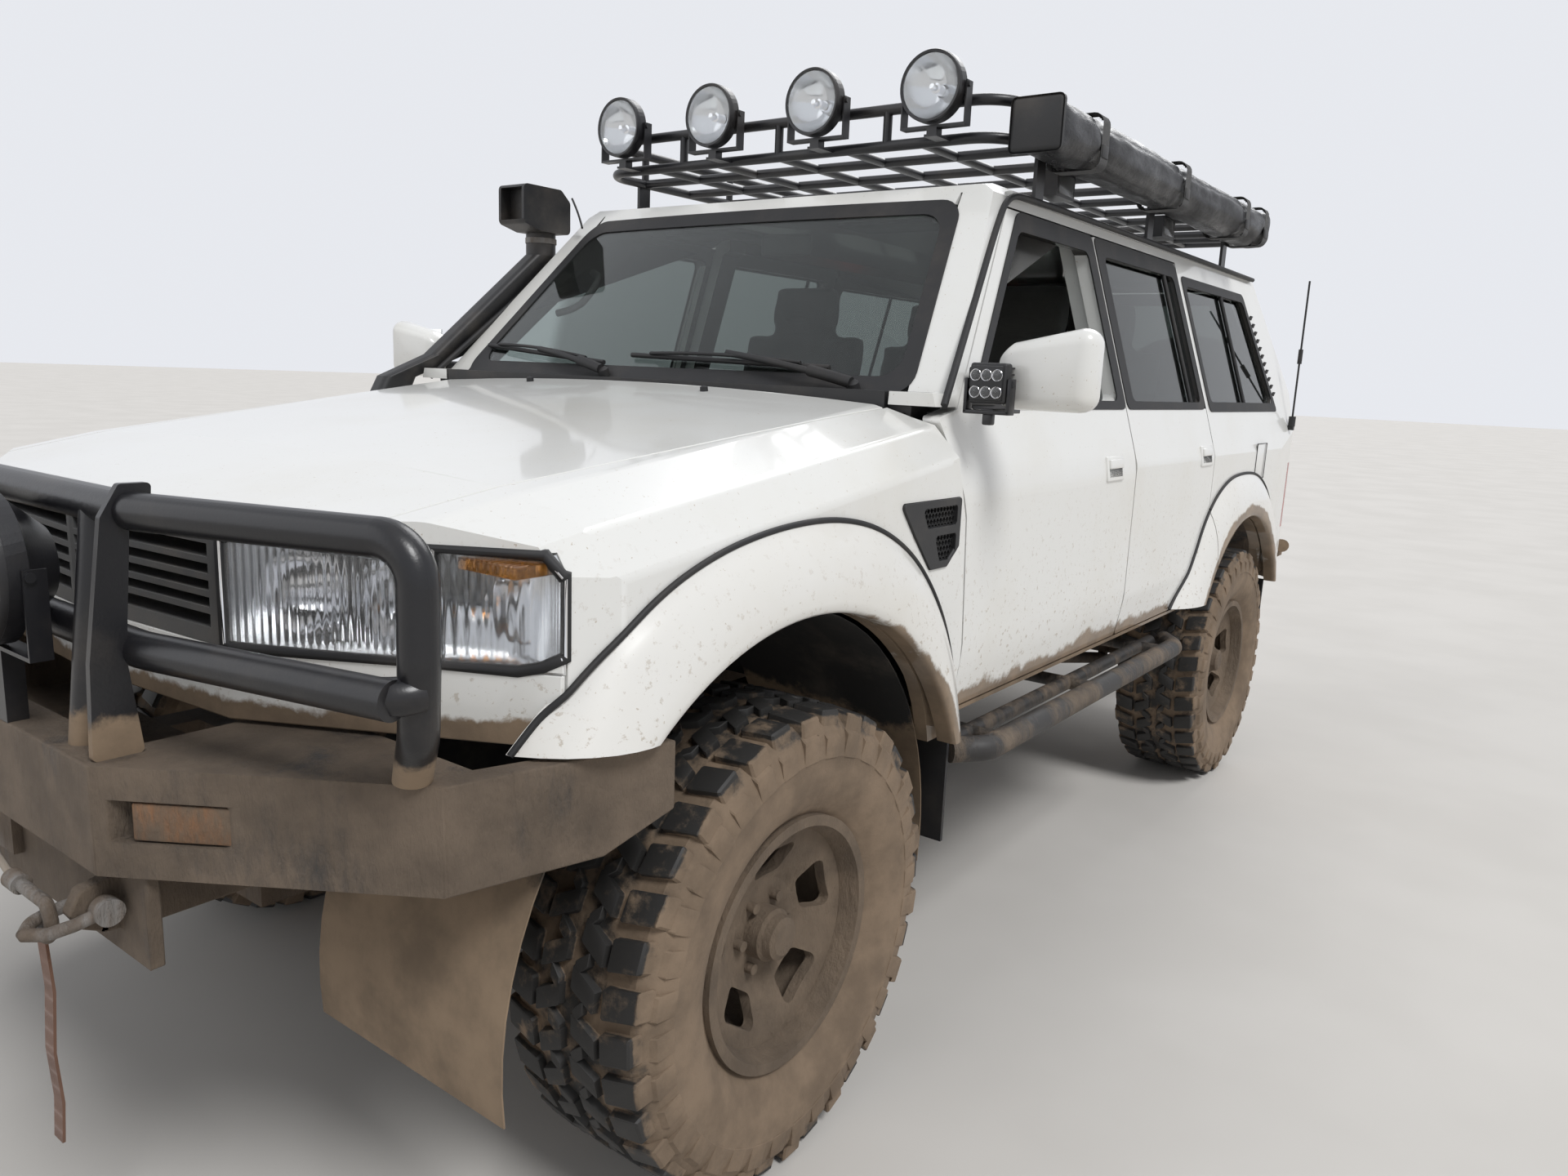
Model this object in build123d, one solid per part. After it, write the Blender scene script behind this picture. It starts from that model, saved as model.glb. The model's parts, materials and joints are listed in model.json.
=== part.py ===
from build123d import *
import math
import os

# A lifted five-door off-road 4x4 on solid axles, with a bull bar, a snorkel, a roof rack and a spare wheel.
# Millimetres. +X is the vehicle's left, the nose points to -Y, +Z is up and the tyres stand on Z = 0.
# Stations are distances behind the front axle, and st() turns one into Y.

# Driving dimensions
WHEELBASE = 2850
FRONT_REACH = 1039
REAR_REACH = 1327.5
FRONT_AXLE_Y = (FRONT_REACH - WHEELBASE - REAR_REACH) / 2
TYRE_RADIUS = 442.5
TYRE_WIDTH = 315
TRACK_HALF = 800
RIM_RADIUS = 228
FIT = 0.3


def st(station):
    """Y of a station behind the front axle."""
    return FRONT_AXLE_Y + station


# Body shell
BODY_HALF = 915
BELT_HALF = 866
GUTTER_HALF = 704
ROOF_EDGE_HALF = 640
SILL_BOTTOM = 690
DOOR_BOTTOM = 745
WIDEST_LOW = 860
WIDEST_HIGH = 1250
BELT = 1410
GUTTER = 1925
ROOF_EDGE = 1966
ROOF_TOP = 2014
SKIN = 40
FLOOR_TOP = 760
FLOOR_THICK = 30
TAIL = WHEELBASE + 950
TAIL_TOP = WHEELBASE + 630
BULKHEAD = 560
SCREEN_FOOT = 600
SCREEN_BOW = 52
SCREEN_SLOPE = (0, 909, 1000)
GLASS = 5

# Bonnet and nose
NOSE = 785
NOSE_TOP = 1235
BONNET_REAR = 505
BONNET_HIGH = 1432
BONNET_HALF_FRONT = 640
BONNET_HALF_REAR = 745
BONNET_SKIN = 25
WING_SKIN = 30
SEAM = 5

# Openings in the body side, as (station, height)
FRONT_DOOR = [(615, DOOR_BOTTOM), (1647, DOOR_BOTTOM), (1647, 1893), (1088, 1893),
              (612, 1407), (520, 1390), (598, 1180), (622, 900)]
REAR_DOOR = [(1653, DOOR_BOTTOM), (2440, DOOR_BOTTOM), (2440, BELT), (2412, 1893), (1653, 1893)]
FRONT_WINDOW = [(715, 1428), (1592, 1428), (1592, 1848), (1128, 1848)]
REAR_WINDOW = [(1712, 1428), (2388, 1428), (2362, 1848), (1712, 1848)]
QUARTER_WINDOW = [(2505, 1428), (3400, 1428), (3235, 1830), (2480, 1830)]
DOOR_CARD = 40
DOOR_CARD_INSET = 30
TAIL_DOOR_HALF = 772
TAIL_SPLIT = -135
TAIL_DOOR_BOTTOM = 850
TAIL_DOOR_TOP = 1880
TAIL_DOOR_TOP_HALF = 606
TAIL_SHOULDER = 1395
FRAME_TOP = 1893
HEADER_BOTTOM = 1893
WING_REAR = [(-900, 1600), (514, 1600), (514, 1388), (592, 1180), (616, 900), (608, 740), (608, 600), (-900, 600)]
SIDE_FRONT = [(616, 600), (616, 1412), (516, 1412), (516, 2100), (4000, 2100), (4000, 600)]
SCUTTLE_HALF = 742
COWL_HALF = 800

# Wheel arches
ARCH_AHEAD = 30
ARCH_RADIUS = 600
ARCH_HEIGHT = 465
REAR_ARCH_RADIUS = 572
REAR_ARCH_HEIGHT = 440
FLARE_HALF = BODY_HALF + 50
FRONT_FLARE = [(-585, 936), (-520, 1010), (-400, 1115), (-250, 1180), (-60, 1212), (130, 1212),
               (300, 1165), (440, 1065), (560, 890), (605, 700), (-585, 700)]
REAR_FLARE = [(2105, 700), (2300, 870), (2420, 1050), (2620, 1150), (2850, 1168), (3080, 1150),
              (3290, 1050), (3420, 900), (3470, 700)]
ARCH_LINER = 8
ARCH_WALL_REAR = 612

# Axles and steering
KINGPIN_X = 640
AXLE_TUBE = 48
RAIL_X = 345
RAIL_REAR_X = 470
RAIL_WIDTH = 80
RAIL_TOP = 700
RAIL_BOTTOM = 560

# Openings seen from behind
TAIL_OPENING = [(-TAIL_DOOR_HALF, TAIL_DOOR_BOTTOM), (TAIL_DOOR_HALF, TAIL_DOOR_BOTTOM),
                (TAIL_DOOR_HALF, TAIL_SHOULDER), (TAIL_DOOR_TOP_HALF, TAIL_DOOR_TOP),
                (-TAIL_DOOR_TOP_HALF, TAIL_DOOR_TOP), (-TAIL_DOOR_HALF, TAIL_SHOULDER)]
TAIL_CUT = [(-TAIL_DOOR_HALF - SEAM, 600), (TAIL_DOOR_HALF + SEAM, 600),
            (TAIL_DOOR_HALF + SEAM, TAIL_SHOULDER), (TAIL_DOOR_TOP_HALF + SEAM, TAIL_DOOR_TOP + SEAM),
            (TAIL_DOOR_TOP_HALF + SEAM, 2100), (-TAIL_DOOR_TOP_HALF - SEAM, 2100),
            (-TAIL_DOOR_TOP_HALF - SEAM, TAIL_DOOR_TOP + SEAM), (-TAIL_DOOR_HALF - SEAM, TAIL_SHOULDER)]
GLASS_SET_BACK = 12
SCUTTLE_TOP = 1440

# Hinges, as (x, station) of the pin and the heights of each one's foot
FRONT_HINGE = (BODY_HALF - 10, 520)
FRONT_HINGE_Z = (860, 1030)
HINGE_REACH = 95
REAR_HINGE = (BODY_HALF - 2, 1668)
REAR_HINGE_Z = (900, 1200)
TAIL_HINGE = (790, 3810)
TAIL_HINGE_Z = (852, 1215)
BONNET_HINGE_X = 600
LAMP_TAIL = (3640, 900, 1180)

# Nose details
LAMP_BOTTOM = 1044
LAMP_TOP = 1210
LAMP_INNER = 430
LAMP_REAR = -512
LAMP_DEPTH = 110
PANEL_BOTTOM = 936
SLAT_GAPS = 5
SLAT = 10
VENT_STATIONS = (315, 564)
VENT_HEIGHTS = (1083, 1228)
FLARE_ROOT = BODY_HALF - 35

# Wheels, axles and frame
RIM_SEAT = 112
HUB_FACE = 20
HUB_SEAT = TRACK_HALF + HUB_FACE - FIT
RIM_WINDOWS = 5
STUDS = 6
STUD_CIRCLE = 139.7
BALL_RADIUS = 80
DIFF_RADIUS = 130
DIFF_OFFSET = 150
REAR_AXLE_END = 690
RAIL_ARCHED = 630
CROSS_STATIONS = [-660, -420, 400, 1320, 1740, 2180, 2620, 3060, 3340, 3600]
CROSS_DEPTH = 70
GEARBOX_STATION = 1130
GEARBOX_SEAT = 23
MOUNT_STATIONS = [1000, 1600, 2200, 3480]
SPRING_X_FRONT = RAIL_X - 5
SPRING_X_REAR = RAIL_REAR_X
WHEEL_X = 370
COLUMN_RAKE = math.radians(28)

# Equipment and fittings
BAR_TOP = 1281
BAR_RADIUS = 25.5
BAR_LOW = 1070
BAR_UPRIGHT = 22
BUMPER_FRONT = 965
BUMPER_BOTTOM = 776
BUMPER_TOP = 930
PAN_BOTTOM = 640
LUG_X = 430
LUG_THICK = 25
LUG_BORE = 25
LUG_HOLE = (-950, 718)
LUG_OUTLINE = [(-975, 693), (-990, 718), (-975, 748), (-880, 768), (-880, 673), (-945, 678)]
WINCH_Z = 714
ROPE_Z = 720
FAIRLEAD_SLOT = 34
ROPE_END = (285, -1000, 728)
ROPE_ROUTE = [(0, -850.3, ROPE_Z), (0, -955, ROPE_Z), (285 - FIT, -1000, 728)]
ROPE_RADIUS = 5
ROPE_BEND = 50
BOW_REACH = (-28, -80, -24)
STRAP_LINE = [(-1002, 666.7), (-998, 590), (-1004, 500), (-999, 420), (-1003, 360)]
STRAP_X = (361, 389)
STRAP_THICK = 4
BAR_LAMP_X = (-200, 200)
BAR_LAMP_Y = -985
BAR_LAMP_Z = 1155
BAR_LAMP_RADIUS = 110
RACK_LAMP_X = (-534, -178, 178, 534)
RACK_LAMP_Y = 985
RACK_LAMP_Z = 2175
RACK_LAMP_RADIUS = 85
RACK_HALF = 700
RACK_FRONT = 1085
RACK_REAR = 3300
RACK_FLOOR = 2066
RACK_RAIL = 2156
RACK_RADIUS = 14
RACK_CROSS = [1280, 1500, 1720, 1940, 2150, 2380, 2600, 2800, 3000, 3150]
RACK_SLATS = [-460, -230, 0, 230, 460]
RACK_POSTS = [1280, 1720, 2150, 2600, 3000]
RACK_FEET = [1280, 2150, 3000]
WORK_LAMP_STATIONS = [1450, 2330]
SNORKEL_ROOT = (-911, 400, 1300)
SNORKEL_KNEE = (-907, 455, 1412)
SNORKEL_FOOT = (-897, 614)
SNORKEL_Z0 = 1480
SNORKEL_Z1 = 1800
SNORKEL_LEAN = 0.971
AWNING_X = RACK_HALF + RACK_RADIUS + FIT
AWNING_Z = 2010
AWNING_FRONT = 1060
AWNING_REAR = 3080
STEP_X = BODY_HALF + 35
STEP_Z = 640
STEP_LEGS = [800, 1400, 2000]
RECEIVER = 50
SPARE_X = 335
SPARE_Z = 1285
SPARE_STATION = TAIL + 220

os.makedirs("parts", exist_ok=True)


def save(name, solids):
    """One STEP file per node."""
    parts = []
    for item in solids:
        parts.extend(item.solids())
    export_step(Compound(children=parts), f"parts/{name}.step")


def side_prism(points, x0, x1, radius=0, taper=0):
    """A side outline of (station, height) from x0 to x1."""
    line = FilletPolyline(*[(st(y), z) for y, z in points], radius=radius, close=True)
    return extrude(Plane.YZ.offset(x0) * make_face(line), x1 - x0, taper=taper)


def front_prism(points, y0, y1, radius=0):
    """A front outline of (x, height) from station y0 back to station y1."""
    line = FilletPolyline(*points, radius=radius, close=True)
    return extrude(Plane.XZ.offset(-st(y1)) * make_face(line), y1 - y0)


def plan_prism(points, z0, z1, radius=0):
    """A plan outline of (x, station) from z0 to z1."""
    line = FilletPolyline(*[(x, st(y)) for x, y in points], radius=radius, close=True)
    return extrude(Plane.XY.offset(z0) * make_face(line), z1 - z0)


def block(x0, x1, y0, y1, z0, z1):
    """A box between two x, two stations and two heights."""
    centre = Pos((x0 + x1) / 2, st((y0 + y1) / 2), (z0 + z1) / 2)
    return centre * Box(abs(x1 - x0), abs(y1 - y0), abs(z1 - z0))


def tube(points, radius, bend=0):
    """A round bar through (x, station, height) points."""
    places = [(x, st(y), z) for x, y, z in points]
    path = FilletPolyline(*places, radius=bend) if len(places) > 2 else Line(*places)
    return sweep(Plane(path @ 0, z_dir=path % 0) * Circle(radius), path=path)


def crossbar(x0, x1, y, z, radius):
    """A round bar along X."""
    return Plane.YZ.offset(x0) * Pos(st(y), z) * extrude(Circle(radius), x1 - x0)


def post(x, y, z0, z1, radius):
    """A round bar along Z."""
    return Pos(x, st(y), z0) * extrude(Circle(radius), z1 - z0)


def fore_aft(x, y0, y1, z, radius):
    """A round bar along Y, from station y0 back to y1."""
    return Plane.XZ.offset(-st(y1)) * Pos(x, z) * extrude(Circle(radius), y1 - y0)


def other_side(part):
    return mirror(part, Plane.YZ)


def both(*parts):
    """Each piece and its mirror image."""
    return [piece for part in parts for piece in (part, other_side(part))]


# Body envelope: side profile, cross-section and plan, cut into panels further down


def mirrored(half):
    """A closed outline from the half at +X, given from the bottom to the top."""
    return half + [(-x, z) for x, z in reversed(half)]


CABIN_HALF_SECTION = [(830, SILL_BOTTOM), (893, 730), (BODY_HALF, WIDEST_LOW), (BODY_HALF, WIDEST_HIGH),
                      (BELT_HALF, BELT), (GUTTER_HALF, GUTTER), (ROOF_EDGE_HALF, ROOF_EDGE), (320, ROOF_TOP)]
CABIN_PROFILE = [(BULKHEAD - 80, SILL_BOTTOM), (BULKHEAD - 80, 1440), (520, 1440), (985, 1936), (1250, 1985),
                 (2000, ROOF_TOP), (3000, ROOF_TOP - 8), (3400, 1966), (TAIL_TOP, GUTTER),
                 (TAIL - 22, BELT), (TAIL, 1330), (TAIL, 820), (TAIL - 50, SILL_BOTTOM)]
TAIL_PLAN = [(BODY_HALF + 40, -200), (BODY_HALF + 40, 3300), (BODY_HALF, 3420), (895, 3680), (800, TAIL),
             (-800, TAIL), (-895, 3680), (-BODY_HALF, 3420), (-BODY_HALF - 40, 3300), (-BODY_HALF - 40, -200)]


def cabin(inset):
    """The cabin envelope, or its inside when it is inset."""
    section = make_face(Polyline(*mirrored(CABIN_HALF_SECTION), close=True))
    profile = make_face(Polyline(*[(st(y), z) for y, z in CABIN_PROFILE], close=True))
    plan = make_face(Polyline(*[(x, st(y)) for x, y in TAIL_PLAN], close=True))
    if inset:
        section = offset(section, -inset, kind=Kind.INTERSECTION)
        profile = offset(profile, -inset, kind=Kind.INTERSECTION)
        plan = offset(plan, -inset, kind=Kind.INTERSECTION)
    body = extrude(Plane.XZ.offset(-st(TAIL + 100)) * section, TAIL + 400)
    body = body & extrude(Plane.YZ.offset(-1100) * profile, 2200)
    body = body & extrude(Plane.XY.offset(400) * plan, 1800)
    return body & behind_screen(inset)


def behind_screen(setback):
    """All that lies behind the bowed windscreen plane, and all below the screen's foot."""
    foot = st(SCREEN_FOOT + setback * 1.35)
    arc = ThreePointArc((-800, foot), (0, foot - SCREEN_BOW), (800, foot))
    edge = Polyline((800, foot), (1100, foot + 60), (1100, st(TAIL + 300)), (-1100, st(TAIL + 300)),
                    (-1100, foot + 60), (-800, foot))
    face = Plane.XY.offset(1440) * make_face([arc, *edge.edges()])
    slope = Vector(*SCREEN_SLOPE)
    upper = extrude(face, 700 * slope.length / 1000, dir=slope.normalized())
    return upper + block(-1100, 1100, 0, TAIL + 300, 400, 1440)


CABIN = cabin(0)
INSIDE = cabin(SKIN)
SHELL = CABIN - INSIDE


def seam_prism(y, half_gap, lean):
    """The gap at the rear edge of a window frame, wider on the inside so that the frame swings out."""
    high = GUTTER + 40 - BELT
    direction = Vector(GUTTER_HALF - BELT_HALF, 0, GUTTER - BELT)
    outline = Polyline((BELT_HALF + 30, st(y - half_gap)), (BELT_HALF + 30, st(y + half_gap)),
                       (BELT_HALF - 90, st(y + half_gap)), (BELT_HALF - 90, st(y - half_gap - lean)), close=True)
    face = Plane.XY.offset(BELT) * make_face(outline)
    return extrude(face, high * direction.length / direction.Z, dir=direction.normalized())


def nose_section(y, half, top, drop):
    """A closed front section at a station: flat sides, a rounded shoulder and a crowned top."""
    shoulder = top - drop
    outline = [(-half + 20, SILL_BOTTOM), (-half, WIDEST_LOW), (-half, shoulder - 70), (-half + 50, shoulder),
               (-half + 190, top - 22), (half - 190, top - 22), (half - 50, shoulder), (half, shoulder - 70),
               (half, WIDEST_LOW), (half - 20, SILL_BOTTOM)]
    left = Line(outline[3], outline[4])
    crown = ThreePointArc(outline[4], (0, top), outline[5])
    right = Line(outline[5], outline[6])
    bottom = Line(outline[9], outline[0])
    side_a = Polyline(*outline[0:4])
    side_b = Polyline(*outline[6:10])
    return Plane.XZ.offset(-st(y)) * make_face([*side_a.edges(), left, crown, right, *side_b.edges(), bottom])


NOSE_STATIONS = [
    # station, half width, top, drop of the shoulder
    (-NOSE - 20, BODY_HALF - 35, NOSE_TOP - 5, 60),
    (-450, BODY_HALF - 10, 1300, 62),
    (BONNET_REAR + 10, BODY_HALF, BONNET_HIGH + 2, 60),
    (660, BODY_HALF, BONNET_HIGH + 34, 60),
]


def nose(inset):
    """The bonnet and wing envelope, or its inside when it is inset."""
    sections = []
    for y, half, top, drop in NOSE_STATIONS:
        sections.append(nose_section(y, half - inset, top - inset, drop))
    body = loft(sections, ruled=True)
    half = BODY_HALF + 40 - inset
    front = NOSE - inset
    corner = BODY_HALF - 35 - inset
    points = [(0, -front), (430, -front + 28), (corner, -520), (half, -250), (half, 700),
              (-half, 700), (-half, -250), (-corner, -520), (-430, -front + 28)]
    return body & plan_prism(points, 300, 1600)


NOSE_SOLID = nose(0)
NOSE_SHELL = NOSE_SOLID - nose(WING_SKIN)
ARCH_FRONT = crossbar(-1100, 1100, -ARCH_AHEAD, ARCH_HEIGHT, ARCH_RADIUS)
ARCH_REAR = crossbar(-1100, 1100, WHEELBASE, REAR_ARCH_HEIGHT, REAR_ARCH_RADIUS)
CARD_INSIDE = cabin(SKIN + DOOR_CARD)


def biggest(shape):
    """The largest solid of a cut, without its crumbs."""
    return sorted(shape.solids(), key=lambda s: s.volume)[-1]


def side_doors():
    """A front and a rear door of the left side: skin, window frame and door card."""
    left_shell = SHELL & block(500, 1100, 0, 4000, 600, 2100)
    seams = {"front": seam_prism(1650, 3, 14), "rear": seam_prism(2432, 12, 14) + ARCH_REAR}
    rows = [("front", FRONT_DOOR, FRONT_WINDOW), ("rear", REAR_DOOR, REAR_WINDOW)]
    made = {}
    for name, outline, window in rows:
        door = left_shell & side_prism(outline, 500, 1100, radius=12)
        first = outline[0][0] + DOOR_CARD_INSET + 60
        last = outline[1][0] - DOOR_CARD_INSET - 15
        card = block(500, 1100, first, last, DOOR_BOTTOM + DOOR_CARD_INSET, BELT - 25)
        door = door + ((card & cabin(SKIN - 1)) - CARD_INSIDE)
        door = door - side_prism(window, 500, 1100, radius=22) - seams[name]
        made[name] = door
    for z in FRONT_HINGE_Z:
        made["front"] = made["front"] + hinge_arm(z)
    for z in REAR_HINGE_Z:
        x, y = REAR_HINGE
        made["rear"] = made["rear"] - block(x - 53, x - 4, y - 28, y + 12, z - 4, z + 30 + FIT)
    return {name: biggest(door) for name, door in made.items()}


def hinge_arm(z):
    """A front door's hinge arm: bent inwards so that it swings out past the wing's rear edge."""
    x, y = FRONT_HINGE
    low, high = z + FIT, z + 30
    inner = x - HINGE_REACH
    arm = post(x, y, low, high, 5) + block(inner, x, y - 5, y + 5, low, high)
    arm = arm + block(inner, inner + 10, y - 5, y + 125, low, high)
    return arm + block(inner, x - 25, y + 115, y + 125, low, high)


def side_panel():
    """Pillars, sill, cant rail and rear quarter of the left side."""
    region = SHELL & block(560, 1100, 0, 4000, 600, GUTTER) & side_prism(SIDE_FRONT, 500, 1100)
    screen = [(-1000, 600), (700, 600), (752, 1440), (632, 1890), (590, 2100), (-1000, 2100)]
    region = region - front_prism(screen, 0, 1500) - front_prism(TAIL_CUT, 3380, 4000)
    for outline in (FRONT_DOOR, REAR_DOOR):
        line = Polyline(*[(st(y), z) for y, z in outline], close=True)
        grown = offset(make_face(line), SEAM, kind=Kind.INTERSECTION)
        region = region - extrude(Plane.YZ.offset(500) * grown, 600)
    centre = block(600, 1100, 1612, 1700, 600, GUTTER)
    post_skin = (cabin(SKIN + 6) - cabin(SKIN + 46)) & centre
    ends = (CABIN - cabin(SKIN + 46)) & centre
    ends = ends - block(600, 1100, 1500, 1800, DOOR_BOTTOM - SEAM, FRAME_TOP + SEAM)
    panel = region + (post_skin + ends - block(600, 790, 1500, 1800, 600, 900))
    panel = panel - side_prism(QUARTER_WINDOW, 500, 1100, radius=30)
    panel = panel - block(790 - FIT, 1100, LAMP_TAIL[0] - FIT, 4000, LAMP_TAIL[1] - FIT, LAMP_TAIL[2] + FIT)
    panel = panel - ARCH_REAR
    for z in REAR_HINGE_Z:
        x, y = REAR_HINGE
        panel = panel + block(x - 63, x - 18, y - 2, y + 8, z, z + 30)
    for z in TAIL_HINGE_Z:
        x, y = TAIL_HINGE
        panel = panel + post(x, y, z, z + 20, 8) + block(x - 9, x + 9, y - 20, y, z, z + 20)
    return biggest(panel)


def roof_panel():
    """The crowned roof with its front and rear headers and its rain gutters."""
    roof = SHELL & block(-900, 900, 900, 3600, GUTTER, 2100)
    front = SHELL & block(-620, 620, 940, 1200, HEADER_BOTTOM, GUTTER)
    rear = SHELL & block(-TAIL_DOOR_TOP_HALF, TAIL_DOOR_TOP_HALF, 3300, 3600, TAIL_DOOR_TOP + SEAM, GUTTER)
    roof = roof + front + rear
    gutter = block(GUTTER_HALF - 14, GUTTER_HALF + 8, 1120, 3440, GUTTER, GUTTER + 14)
    return [biggest(roof + gutter + other_side(gutter))]


def floor_pan():
    """Floor, rear wheel tubs and the panel under the rear doors."""
    floor = block(-780, 780, BULKHEAD + 40, TAIL - SKIN - 8, FLOOR_TOP - FLOOR_THICK, FLOOR_TOP)
    rise = [(BULKHEAD + 40, FLOOR_TOP - 1), (BULKHEAD + 40, 900), (1000, 860), (1900, 800), (1900, FLOOR_TOP - 1)]
    floor = floor + side_prism(rise, -170, 170)
    for side in (-1, 1):
        x0, x1 = sorted((side * ARCH_WALL_REAR, side * 880))
        tub = crossbar(x0, x1, WHEELBASE, REAR_ARCH_HEIGHT, REAR_ARCH_RADIUS + ARCH_LINER)
        tub = tub - block(side * 800, side * 900, 2000, 2448, 700, 1200)
        floor = floor + (tub & INSIDE & block(-900, 900, 2000, 3700, FLOOR_TOP - FLOOR_THICK, 1200))
        x0, x1 = sorted((side * (ARCH_WALL_REAR + ARCH_LINER), side * 900))
        floor = floor - crossbar(x0, x1, WHEELBASE, REAR_ARCH_HEIGHT, REAR_ARCH_RADIUS)
        floor = floor - block(side * (TAIL_DOOR_HALF + SEAM - FIT), side * 800, 3710, 3800, 700, 800)
    rear = SHELL & block(-TAIL_DOOR_HALF, TAIL_DOOR_HALF, TAIL - SKIN - 8, 4000, 600, TAIL_DOOR_BOTTOM - SEAM)
    return [biggest(floor + rear)]


def cowl_panel():
    """Bulkhead, scuttle under the windscreen and the posts that carry the windscreen pillars."""
    cowl = block(-COWL_HALF, COWL_HALF, BULKHEAD, BULKHEAD + 40, FLOOR_TOP - FLOOR_THICK, 1396)
    cowl = cowl + (CABIN & block(-SCUTTLE_HALF, SCUTTLE_HALF, 514, 640, 1396, SCUTTLE_TOP))
    for side in (-1, 1):
        cowl = cowl + block(side * 700, side * COWL_HALF, 530, 600, FLOOR_TOP - FLOOR_THICK, 1412)
        cowl = cowl + block(side * 755, side * 785, 514 + FIT, 535, 1389, 1396)
        x = side * (BONNET_HINGE_X + 6 + FIT)
        cowl = cowl + block(x, x + side * 8, 480, BULKHEAD + 10, 1340, 1385)
    return [biggest(cowl)]


def bonnet():
    """The bonnet's outer panel, narrower at the nose."""
    outline = [(0, -900), (BONNET_HALF_FRONT, -900), (BONNET_HALF_FRONT, -650), (BONNET_HALF_REAR, BONNET_REAR),
               (-BONNET_HALF_REAR, BONNET_REAR), (-BONNET_HALF_FRONT, -650), (-BONNET_HALF_FRONT, -900)]
    panel = (NOSE_SOLID - nose(BONNET_SKIN)) & plan_prism(outline, LAMP_TOP + SEAM, 1700)
    for side in (-1, 1):
        panel = panel + block(side * BONNET_HINGE_X, side * (BONNET_HINGE_X + 6), 480, 508, 1340, 1400)
    return [biggest(panel)]


def front_wings():
    """Left and right wings from the headlamps to the doors, with the hole of the side vent."""
    front = BONNET_HALF_FRONT + SEAM
    rear = BONNET_HALF_REAR + SEAM
    outline = [(front, -900), (front, -650), (rear, BONNET_REAR), (rear, 700), (1100, 700), (1100, -900)]
    wing = NOSE_SHELL & plan_prism(outline, 600, 1700) & side_prism(WING_REAR, 300, 1100)
    wing = wing - block(0, 1100, -900, LAMP_REAR, 0, LAMP_TOP + 3) - ARCH_FRONT
    wing = wing - side_prism(vent_outline(0), BODY_HALF - 65, BODY_HALF + 85, radius=8)
    wing = wing - block(0, 1100, -900, -350, 0, BUMPER_TOP + SEAM)
    x, y = FRONT_HINGE
    for z in FRONT_HINGE_Z:
        wing = wing - block(x - 40, x + 6, y - 15, y + 130, z, z + 40)
    return both(biggest(wing))


def vent_outline(inset):
    """The side vent seen from the side, its lower front corner cut away by the flare."""
    y0, y1 = VENT_STATIONS
    z0, z1 = VENT_HEIGHTS
    return [(y0 + inset, z1 - inset), (y1 - inset, z1 - inset), (y1 - inset, z0 + 40), (y1 - 50, z0 + inset),
            (y0 + 130, z0 + inset), (y0 + 60 + inset, z1 - 70)]


def side_vents():
    """A framed outlet with two recessed meshes behind each front wheel."""
    vent = side_prism(vent_outline(1), BODY_HALF - WING_SKIN, BODY_HALF + 4, radius=8)
    y0, y1 = VENT_STATIONS
    for low, high, first in ((VENT_HEIGHTS[0] + 16, VENT_HEIGHTS[0] + 70, y0 + 140),
                             (VENT_HEIGHTS[0] + 88, VENT_HEIGHTS[1] - 16, y0 + 84)):
        pocket = [(first, high), (y1 - 18, high), (y1 - 18, low), (first + 24, low)]
        vent = vent - side_prism(pocket, BODY_HALF - 12, BODY_HALF + 20, radius=8)
    return both(vent)


def front_panel():
    """The painted panel below the lamps."""
    panel = NOSE_SHELL & block(-1100, 1100, -900, LAMP_REAR - 3, PANEL_BOTTOM, LAMP_BOTTOM - FIT)
    return [biggest(panel)]


def grille():
    """A frame with slats and a middle post between the lamps."""
    depth = NOSE_SOLID - nose(60)
    half = LAMP_INNER - 4
    frame = depth & block(-half, half, -900, -600, LAMP_BOTTOM, LAMP_TOP)
    low, high = LAMP_BOTTOM + 24, LAMP_TOP - 18
    piece = frame - block(-half + 30, half - 30, -900, -600, low, high)
    pitch = (high - low) / SLAT_GAPS
    for i in range(1, SLAT_GAPS):
        z = low + i * pitch
        piece = piece + (depth & block(-half + 20, half - 20, -900, -600, z - SLAT / 2, z + SLAT / 2))
    piece = piece + (depth & block(-12, 12, -900, -600, LAMP_BOTTOM, LAMP_TOP))
    return [biggest(piece)]


def front_lamps():
    """Headlamp and corner lamp in one housing on each side."""
    lamp = (NOSE_SOLID - nose(LAMP_DEPTH)) & block(LAMP_INNER, 1100, -900, LAMP_REAR - 3, LAMP_BOTTOM, LAMP_TOP)
    return both(biggest(lamp))


def flare(outline):
    """A flare swelling out from the body side."""
    line = FilletPolyline(*[(st(y), z) for y, z in outline], radius=20, close=True)
    return extrude(Plane.YZ.offset(FLARE_ROOT) * make_face(line), FLARE_HALF - FLARE_ROOT, taper=22)


def wheel_flares():
    """The flares that the body carries, and the part of the rear flare that the rear door carries."""
    front = flare(FRONT_FLARE) - NOSE_SOLID - CABIN - ARCH_FRONT
    front = front - block(800, 1100, 608, 700, 0, 1300) - block(800, 1100, -900, -300, 0, PANEL_BOTTOM)
    rear = flare(REAR_FLARE) - CABIN - ARCH_REAR
    body = rear & block(800, 1100, 2440 + SEAM, 3700, 0, 1300)
    on_door = rear & block(800, 1100, 2000, 2440, DOOR_BOTTOM, 1300)
    return both(biggest(front), biggest(body)), biggest(on_door)


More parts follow.
